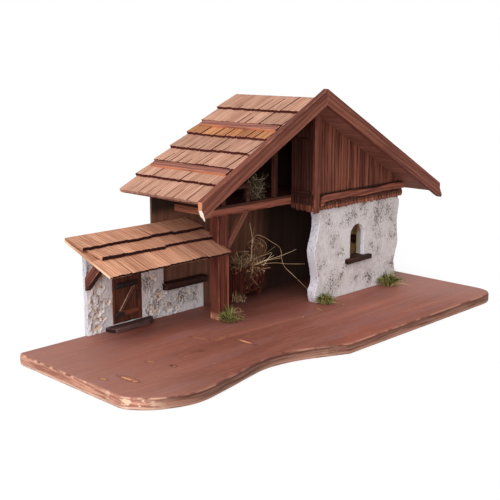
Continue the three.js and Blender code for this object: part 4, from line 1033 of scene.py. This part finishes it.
wood("barge_stain", *BARGE_TONES, wear_and_light=0.6, ends=(98, 54, 42), ring=0.0048, contrast=0.8)
wood("left_barge_stain", *BARGE_TONES, wear_and_light=0.6, ends=(206, 138, 104), ring=0.0048, contrast=0.8)
wood("torn_wood", (232, 204, 180), (255, 250, 244), (255, 246, 236), wear_and_light=0.2, ends=(244, 222, 200))
for side, out in (("left", -1), ("right", 1)):
    fall = Vector((out, 0, -ROOF_RATIO)).normalized()
    wood(
        f"lath_stain_{side}", (124, 72, 62), (172, 114, 100), (206, 148, 124),
        wear_and_light=0.6, ends=(44, 20, 16), one_side=(fall, (220, 146, 108), 0.85),
    )
    for row in ("upper", "lower"):
        worked(
            f"roof_lath_{side}_{row}", f"lath_stain_{side}", "lath", DEEP, softness=0.0008,
            wander=0.0006, shorter=LATH_SHORTER,
        )
    look = "left_barge_stain" if side == "left" else "barge_stain"
    worked(f"bargeboard_{side}", look, "barge", fall, softness=0.0011, wander=0.0004)

low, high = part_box("bargeboard_left")
hand = random.Random(19)
shape = new_shape()
outline = [
    (0, 0.0010), (0, TEAR_WIDTH), (0.0040, TEAR_WIDTH + 0.0006), (0.0085, TEAR_WIDTH - 0.0010),
    (0.0108, TEAR_WIDTH - 0.0030), (TEAR_HEIGHT, 0.0020), (TEAR_HEIGHT + 0.0035, 0.0004),
    (TEAR_HEIGHT, -0.0004), (0.0090, 0.0002), (0.0050, 0),
]
down = Vector((0.30, 0, -0.954)).normalized()
place = laid(down, DEEP, (low.x + 0.0002, low.y + 0.0006, low.z + TEAR_HEIGHT - 0.001))
place = place @ Matrix.Translation((0, 0, -TEAR_THICKNESS / 2))
board(shape, outline, TEAR_THICKNESS, place, hand, 0.0003)
placed(shape, "torn_foot", "torn_wood", "barge", [])

# The annex roof: a thin panel with three courses of wider shingles, rubbed with an orange
# stain that leaves the grain in fine lines. A brace carries it at the left end.

ANNEX_RATIO = 0.34
ANNEX_WIDTHS = (0.030, 0.056)
ANNEX_SHOWN = 0.03
ANNEX_SHINGLE = 0.0032
ANNEX_HEAD = 0.0026
ANNEX_TIP = [0.0050, 0.0050, 0.0032]
ANNEX_LAP = 0.008
ANNEX_TIPS = [0.046, 0.077, 0.118]
ANNEX_INSETS = [0.001, 0.011, 0]
ANNEX_JOINT = 0.0004
PANEL_SHORTER = 0.006


def painted_light_and_red_right(shade, grain, colour):
    """Brightens the shingles towards the post, painted light where the main roof shades them, adds
    redder streaks there, and turns their ends and joints near black, end grain and painted shade.
    """
    share = shade.place().part().between(-0.24, -0.07)
    red = grain.clouds((12, 210, 210)).between(0.50, 0.62) * share * 0.5
    colour = (share * 0.3).mixed(colour, (238, 172, 142))
    torn = shade.noted("mark").part("Z")
    return torn.mixed(red.mixed(colour, (176, 96, 74)), (40, 17, 16))


wood(
    "annex_stain", (178, 120, 92), (228, 172, 140), (222, 166, 132), wear_and_light=0.8,
    ends=(40, 17, 16), roughness=0.8, contrast=0.9, varied=0.15, extra=painted_light_and_red_right,
)
wood(
    "verge_stain", (176, 118, 90), (214, 160, 128), (240, 190, 154), wear_and_light=0.9,
    ends=(64, 32, 26), one_side=((-1, 0, 0), (252, 212, 180), 0.95),
)
annex_low, annex_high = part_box("annex_roof_panel")
annex_fall = Vector((0, -1, -ANNEX_RATIO)).normalized()
annex_slope = laid(annex_fall, LONG, (annex_low.x, annex_high.y, annex_high.z))
annex_run = math.hypot(1, ANNEX_RATIO)
tips = [run * annex_run for run in ANNEX_TIPS]
heads, tilts = course_tilts(tips, ANNEX_LAP, ANNEX_SHINGLE, LAID_OFF)
hand = random.Random(21)
post_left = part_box("front_post")[0].x - LAID_OFF
for i, inset in enumerate(ANNEX_INSETS):
    node = f"annex_shingles_{i + 1}"
    shape = new_shape()
    right = (post_left if i == 2 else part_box(node)[1].x) - annex_low.x
    joints = []
    at = hand.uniform(*ANNEX_WIDTHS)
    while at < right - inset - 0.02:
        joints.append((at, 1))
        at += hand.uniform(*ANNEX_WIDTHS)
    place = annex_slope @ Matrix.Translation((0, inset, 0))
    split_course(
        shape, place, heads[i], tips[i], tilts[i], right - inset, joints, ANNEX_SHOWN,
        (ANNEX_HEAD, ANNEX_TIP[i]), hand, gap=ANNEX_JOINT, uneven=0.0045,
    )
    placed(shape, f"{node}_split", "annex_stain", "shingle", [node])

up_slope = Vector((0, 1, ANNEX_RATIO)).normalized()
worked(
    "annex_roof_panel", "verge_stain", "lath", up_slope, softness=0.0005, wander=0,
    shorter=PANEL_SHORTER,
)
# Painted shade on the brace's underside, and a painted highlight on its pale eased edges.
wood(
    "strut_stain", (84, 42, 34), (130, 74, 60), (214, 166, 138), wear_and_light=0.9,
    one_side=((0, -0.7, -0.7), (56, 26, 22), 0.8),
)
run_out = Vector((0, -1, 1)).normalized()
worked("annex_brace", "strut_stain", "timber", run_out, softness=0.0010)

# The door: four narrow boards on two ledges with a brace, all stained black brown, hung on
# two iron straps. Its frame is let into the plaster, and a weathered step lies before it.

LEAF_BOARDS = 4

wood("door_stain", (62, 32, 24), (108, 62, 46), (34, 17, 13), wear_and_light=1.3, contrast=0.9)
wood("frame_stain", (56, 26, 20), (112, 62, 46), (140, 84, 64), wear_and_light=0.6)
# The door brace's pale eased edges are a painted highlight.
wood("brace_stain", (60, 31, 24), (98, 58, 46), (220, 180, 160), wear_and_light=1.5)
wood("ledge_stain", (22, 15, 14), (52, 34, 31), (80, 56, 48))
wood("step_stain", (46, 29, 28), (88, 63, 61), (124, 94, 90), wear_and_light=0.8, contrast=1.6, ends=(40, 26, 26))
for node, along in (("door_jamb_left", HIGH), ("door_jamb_right", HIGH), ("door_lintel", LONG)):
    worked(node, "frame_stain", "dark_wood", along)
worked("door_step", "step_stain", "dark_wood", LONG, softness=0.0016, wander=0.0014)

low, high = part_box("door_leaf")
hand = random.Random(17)
shape = new_shape()
each = (high.x - low.x) / LEAF_BOARDS
for i in range(LEAF_BOARDS):
    left = low.x + each * i
    outline = [(low.z, left), (low.z, left + each), (high.z, left + each), (high.z, left)]
    board(shape, outline, high.y - low.y, laid(HIGH, LONG, (0, low.y, 0)), hand, 0.0007)
placed(shape, "door_leaf_boards", "door_stain", "door", ["door_leaf"], "door")
worked("door_ledge_top", "ledge_stain", "door", LONG, softness=0.0007, wander=0.0005, body="door")
worked("door_ledge_bottom", "frame_stain", "door", LONG, softness=0.0007, body="door")
brace_rise = Vector((34, 0, 37)).normalized()
worked("door_brace", "brace_stain", "door", brace_rise, softness=0.0007, body="door")


def iron_look():
    shade = new_look("black_iron")
    rust = shade.place().clouds((500, 500, 500), 4)
    colour = rust.between(0.45, 0.7).mixed((30, 31, 35), (52, 37, 32))
    bump = shade.node("Bump", {}, {"Height": rust, "Distance": 0.0003})
    inputs = {"Base Color": colour, "Roughness": rust * 0.3 + 0.5, "Normal": bump}
    inputs["Metallic"] = 0.3
    shade.node("OutputMaterial", {}, {0: shade.node("BsdfPrincipled", {}, inputs)})


iron_look()
for row in ("bottom", "top"):
    for iron, body in (("strap", "door"), ("pintle", "stable")):
        worked(
            f"hinge_{iron}_{row}", "black_iron", "iron", HIGH, softness=0.00015, wander=0,
            body=body, smooth=30,
        )
worked("door_latch", "black_iron", "iron", HIGH, softness=0.0004, wander=0.0001, body="door")

# The manger: two footed ends and a leaning front of zigzag slats, stained dark red.

wood("manger_stain", (44, 18, 14), (96, 46, 36), (124, 70, 54), wear_and_light=0.5, contrast=1.2)
for node in ("manger_end_left", "manger_end_right", "manger_lattice"):
    worked(node, "manger_stain", "dark_wood", HIGH, softness=0.0003, wander=0.0001)

# The hay: dry stalks heaped loosely in the manger and on the loft, with a ball of reddish
# moss fibres on the manger. The longest stalks arch out over the bay.

CAMERA_SIDE = Vector((0.7018, -0.7124, 0))
# Long stalks over the manger: steps to the camera's right and up from the manger's top, and
# the stalk's thickness, in millimetres
LONG_STALKS = [
    ([(4, 30), (12, 53), (26, 51), (39, 43), (55, 31), (58, 12), (63, -2), (79, -18),
      (104, -43)], 1.12),
    ([(-22, -15), (-10, -2), (7, 10), (24, 17), (40, 24)], 1.76),
    ([(-20, -8), (-4, -5), (12, 1), (34, 10)], 1.6),
    ([(20, 6), (36, 11), (60, 19), (83, 29)], 0.96),
    ([(22, 2), (45, 5), (70, 3), (98, 3)], 0.8),
    ([(26, 0), (34, 12), (41, 23)], 0.88),
    ([(10, 10), (27, 20), (46, 34)], 0.96),
    ([(12, 4), (30, 9), (58, 14)], 1.04),
    ([(0, -4), (22, 6), (44, 18)], 1.04),
    ([(4, 8), (6, 33), (6, 54), (2, 76)], 1.12),
    ([(6, 28), (7, 45), (10, 68)], 1.04),
    ([(1, 25), (-10, 25), (-21, 24)], 0.96),
    ([(-21, 24), (-24, 17), (-27, 10)], 0.96),
    ([(-27, 10), (-16, 3), (-8, 5), (-3, 11)], 0.96),
    ([(-27, -2), (-18, -8), (-6, -18)], 0.96),
    ([(-3, -12), (7, -24), (20, -40)], 0.96),
]
# How far in front of the manger's middle the long stalks cross
STALKS_FORWARD = 0.018


def dry_look(name, dark, light, pale, pale_share):
    shade = new_look(name)
    colour, relief = figure(shade, dark, light)[1:]
    share = shade.noted("mark").part()
    colour = tinted(shade, colour, share, 0.6)
    colour = share.between(0.95 - pale_share, 1.05 - pale_share).mixed(colour, pale)
    finished(shade, colour, 0.85, relief, 0.0003)


def stalk(shape, points, thickness, hand, sides=4, tip=0.5):
    """A stalk or blade through some points, thinner towards its tip."""
    verts = []
    rings = []
    aside = (points[1] - points[0]).orthogonal().normalized()
    for i, point in enumerate(points):
        ahead = points[min(i + 1, len(points) - 1)] - points[max(i - 1, 0)]
        ahead.normalize()
        up = ahead.cross(aside).normalized()
        aside = up.cross(ahead).normalized()
        wide = thickness / 2 * (1 - (1 - tip) * i / (len(points) - 1))
        turns = [2 * math.pi * k / sides for k in range(sides)]
        ring = [shape.verts.new(point + (aside * math.cos(t) + up * math.sin(t)) * wide) for t in turns]
        rings.append(ring)
        verts += ring
    faces = [shape.faces.new(rings[0][::-1]), shape.faces.new(rings[-1])]
    for lower, upper in zip(rings, rings[1:]):
        for k in range(sides):
            j = (k + 1) % sides
            faces.append(shape.faces.new((lower[k], lower[j], upper[j], upper[k])))
    along = (points[-1] - points[0]).normalized()
    grown(shape, verts, faces, along, hand)
    mark = shape.faces.layers.float_vector["mark"]
    for face in faces:
        face[mark] = Vector((face[mark].x, 0, 0))


def smoothed(points, steps=4):
    """A soft curve through some points."""
    curve = []
    for i in range(len(points) - 1):
        before = points[max(i - 1, 0)]
        after = points[min(i + 2, len(points) - 1)]
        start, end = points[i], points[i + 1]
        for step in range(steps):
            t = step / steps
            bend = 2 * start + (end - before) * t
            bend += (2 * before - 5 * start + 4 * end - after) * t ** 2
            bend += (3 * start - before - 3 * end + after) * t ** 3
            curve.append(bend / 2)
    return [*curve, points[-1]]


def strewn(shape, hand, low, high, middle, spread, count, length, thickness, bend, rise):
    """Stalks that cross and lean through a loose heap, kept between two corners."""
    for i in range(count):
        spot = Vector([hand.gauss(0, 0.45) for axis in "xyz"])
        if spot.length > 1:
            spot.normalize()
        root = middle + spot * Vector(spread)
        way = Vector((hand.gauss(0, 1), hand.gauss(0, 0.8), hand.gauss(rise, 0.7))).normalized()
        curve = Vector([hand.gauss(0, 1) for axis in "xyz"]) * bend
        size = length * hand.uniform(0.45, 1.25)
        points = []
        for step in range(6):
            t = step / 5 - 0.5
            point = root + way * size * t + curve * size * (t * t)
            for axis in range(3):
                point[axis] = min(max(point[axis], low[axis]), high[axis])
            points.append(point)
        if (points[-1] - points[0]).length > size * 0.3:
            stalk(shape, points, thickness * hand.uniform(0.6, 1.5), hand)


def curled(shape, middle, reach, count, hand, thickness):
    """Thin fibres curled up in a ball."""
    for i in range(count):
        axis = Vector([hand.gauss(0, 1) for way in "xyz"]).normalized()
        aside = axis.orthogonal().normalized()
        turn = Matrix.Rotation(hand.uniform(0, 6.3), 3, axis)
        aside = turn @ aside
        up = axis.cross(aside)
        size = reach * hand.uniform(0.45, 1.0)
        off = axis * reach * hand.uniform(-0.4, 0.4)
        sweep = hand.uniform(1.5, 4.0)
        points = []
        for step in range(8):
            t = sweep * step / 7
            round_spot = (aside * math.cos(t) + up * math.sin(t)) * size * (1 - 0.05 * step)
            points.append(middle + off + round_spot)
        stalk(shape, points, thickness * hand.uniform(0.7, 1.3), hand, 3, 0.8)


dry_look("straw", (86, 58, 42), (162, 126, 94), (228, 194, 152), 0.22)
# Painted light: a brighter copy of the straw for the long stalks over the bay, which lie in the roof's
# shade.
dry_look("straw_painted_light", (172, 134, 100), (226, 192, 154), (246, 222, 188), 0.3)
dry_look("moss", (84, 54, 40), (150, 108, 80), (190, 148, 112), 0.2)
dry_look("olive_straw", (62, 52, 40), (138, 120, 92), (206, 188, 154), 0.2)

hand = random.Random(31)
low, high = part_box("manger_hay")
back_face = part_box("back_panel")[0].y - 0.0008
shape = new_shape()
top = Vector(((low.x + high.x) / 2, (low.y + high.y) / 2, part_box("manger_lattice")[1].z))
keep_low = Vector((top.x - 0.045, low.y - 0.012, BOARD_TOP + 0.002))
keep_high = Vector((top.x + 0.045, back_face, 1))
# Each heap: its middle and reach, how many stalks, their length and thickness, how much
# they bend, and how steeply they stand
heaps = [
    (top + Vector((-0.003, 0, 0.001)), (0.030, 0.020, 0.017), 240, 0.030, 0.0009, 0.5, 0.15),
    (top + Vector((-0.004, -0.014, -0.003)), (0.030, 0.006, 0.014), 200, 0.026, 0.0009, 0.4, -0.1),
    (top + CAMERA_SIDE * -0.024 + HIGH * -0.001, (0.008, 0.008, 0.010), 80, 0.018, 0.0008, 0.3, 0.8),
    (top + Vector((0, 0.003, -0.022)), (0.022, 0.013, 0.020), 160, 0.022, 0.0008, 0.4, 0.3),
    (Vector((0.010, 0.118, 0.022)), (0.020, 0.012, 0.008), 70, 0.024, 0.0008, 0.2, 2.4),
]
for heap in heaps:
    strewn(shape, hand, keep_low, keep_high, *heap)
placed(shape, "manger_hay_stalks", "straw", "hay", ["manger_hay"])

shape = new_shape()
forward = Vector((-0.712, -0.702, 0)) * STALKS_FORWARD
for steps, thickness in LONG_STALKS:
    points = [top + forward + CAMERA_SIDE * along + HIGH * up for along, up in metres(steps)]
    points = [Vector((p.x, min(p.y, back_face - 0.001), p.z)) for p in points]
    stalk(shape, smoothed(points), thickness / 1000, hand, 5)
placed(shape, "manger_long_stalks", "straw_painted_light", "hay", ["manger_hay"])
shape = new_shape()
curled(shape, top + CAMERA_SIDE * 0.015 + HIGH * 0.026, 0.019, 110, hand, 0.0006)
curled(shape, top + CAMERA_SIDE * 0.004 + HIGH * 0.008, 0.016, 60, hand, 0.0006)
placed(shape, "manger_moss", "moss", "hay", [])

low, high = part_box("loft_hay")
shape = new_shape()
middle = (low + high) / 2
spread = Vector(((high.x - low.x) * 0.55, (high.y - low.y) * 0.55, (high.z - low.z) * 0.5))
keep_low = Vector((low.x - 0.008, low.y - 0.006, low.z + 0.0005))
keep_high = Vector((high.x + 0.008, high.y + 0.008, high.z + 0.003))
strewn(shape, hand, keep_low, keep_high, middle, spread, 170, 0.026, 0.0008, 0.5, 0.5)
foot = Vector((middle.x, middle.y, low.z + 0.004))
strewn(shape, hand, keep_low, keep_high, foot, spread, 90, 0.024, 0.0008, 0.4, 0.1)
placed(shape, "loft_hay_stalks", "olive_straw", "hay", ["loft_hay"])

# The grass: tufts of dyed fibre glued at the foot of the post and of the front wall, green
# in the middle and straw yellow outside, with a few curls of moss beside the post.

# How much wider and taller each tuft is than its closed clump
TUFT_SIZES = {
    "grass_tuft_post": (1.25, 1.5), "grass_tuft_left": (1.2, 1.35), "grass_tuft_right": (1.8, 1.6),
}
MOSS_UP = 0.012
MOSS_ASIDE = 0.013

dry_look("green_fibre", (26, 33, 11), (96, 104, 42), (176, 168, 102), 0.26)
dry_look("yellow_fibre", (112, 86, 52), (170, 142, 92), (206, 182, 130), 0.3)


def tuft(shape, middle, spread, rise, count, hand, thickness, lean, back):
    """Blades that rise from a small root and bend outwards."""
    for i in range(count):
        turn = hand.uniform(0, 2 * math.pi)
        out = hand.random() ** 0.6
        away = Vector((math.cos(turn), math.sin(turn), 0)) * spread
        root = middle + away * 0.45 * out
        reach = away * hand.uniform(0.1, 1.0) * lean * (0.25 + out)
        size = rise * hand.uniform(0.4, 1.05) * (1 - 0.4 * out)
        sag = hand.uniform(0.2, 0.9) * out
        sideways = Vector((-away.y, away.x, 0)) * hand.gauss(0, 0.30)
        points = []
        for t in (0, 0.3, 0.6, 0.85, 1):
            height = size * (t * (1.4 - 0.4 * t) - sag * t ** 3)
            point = root + reach * t ** 1.3 + sideways * t * t + HIGH * max(height, 0.0004)
            points.append(Vector((point.x, min(point.y, back), point.z)))
        stalk(shape, points, thickness * hand.uniform(0.6, 1.3), hand, 3, 0.25)


front_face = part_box("front_wall")[0].y - 0.0006
for i, (node, (wider, taller)) in enumerate(TUFT_SIZES.items()):
    low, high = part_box(node)
    hand = random.Random(50 + i)
    middle = Vector(((low.x + high.x) / 2, (low.y + high.y) / 2, low.z))
    spread = (high.x - low.x) / 2 * wider
    rise = (high.z - low.z) * taller
    back = 1 if node == "grass_tuft_post" else front_face
    shape = new_shape()
    tuft(shape, middle, spread, rise, 340, hand, 0.0010, 0.75, back)
    placed(shape, f"{node}_fibres", "green_fibre", "grass", [node])
    shape = new_shape()
    tuft(shape, middle, spread * 1.2, rise * 0.75, 120, hand, 0.0008, 0.9, back)
    placed(shape, f"{node}_dry_fibres", "yellow_fibre", "grass", [])

low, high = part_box("grass_tuft_post")
middle = Vector(((low.x + high.x) / 2, (low.y + high.y) / 2, low.z + MOSS_UP))
shape = new_shape()
curled(shape, middle + CAMERA_SIDE * MOSS_ASIDE, 0.013, 48, random.Random(61), 0.0006)
placed(shape, "post_moss", "moss", "grass", [])
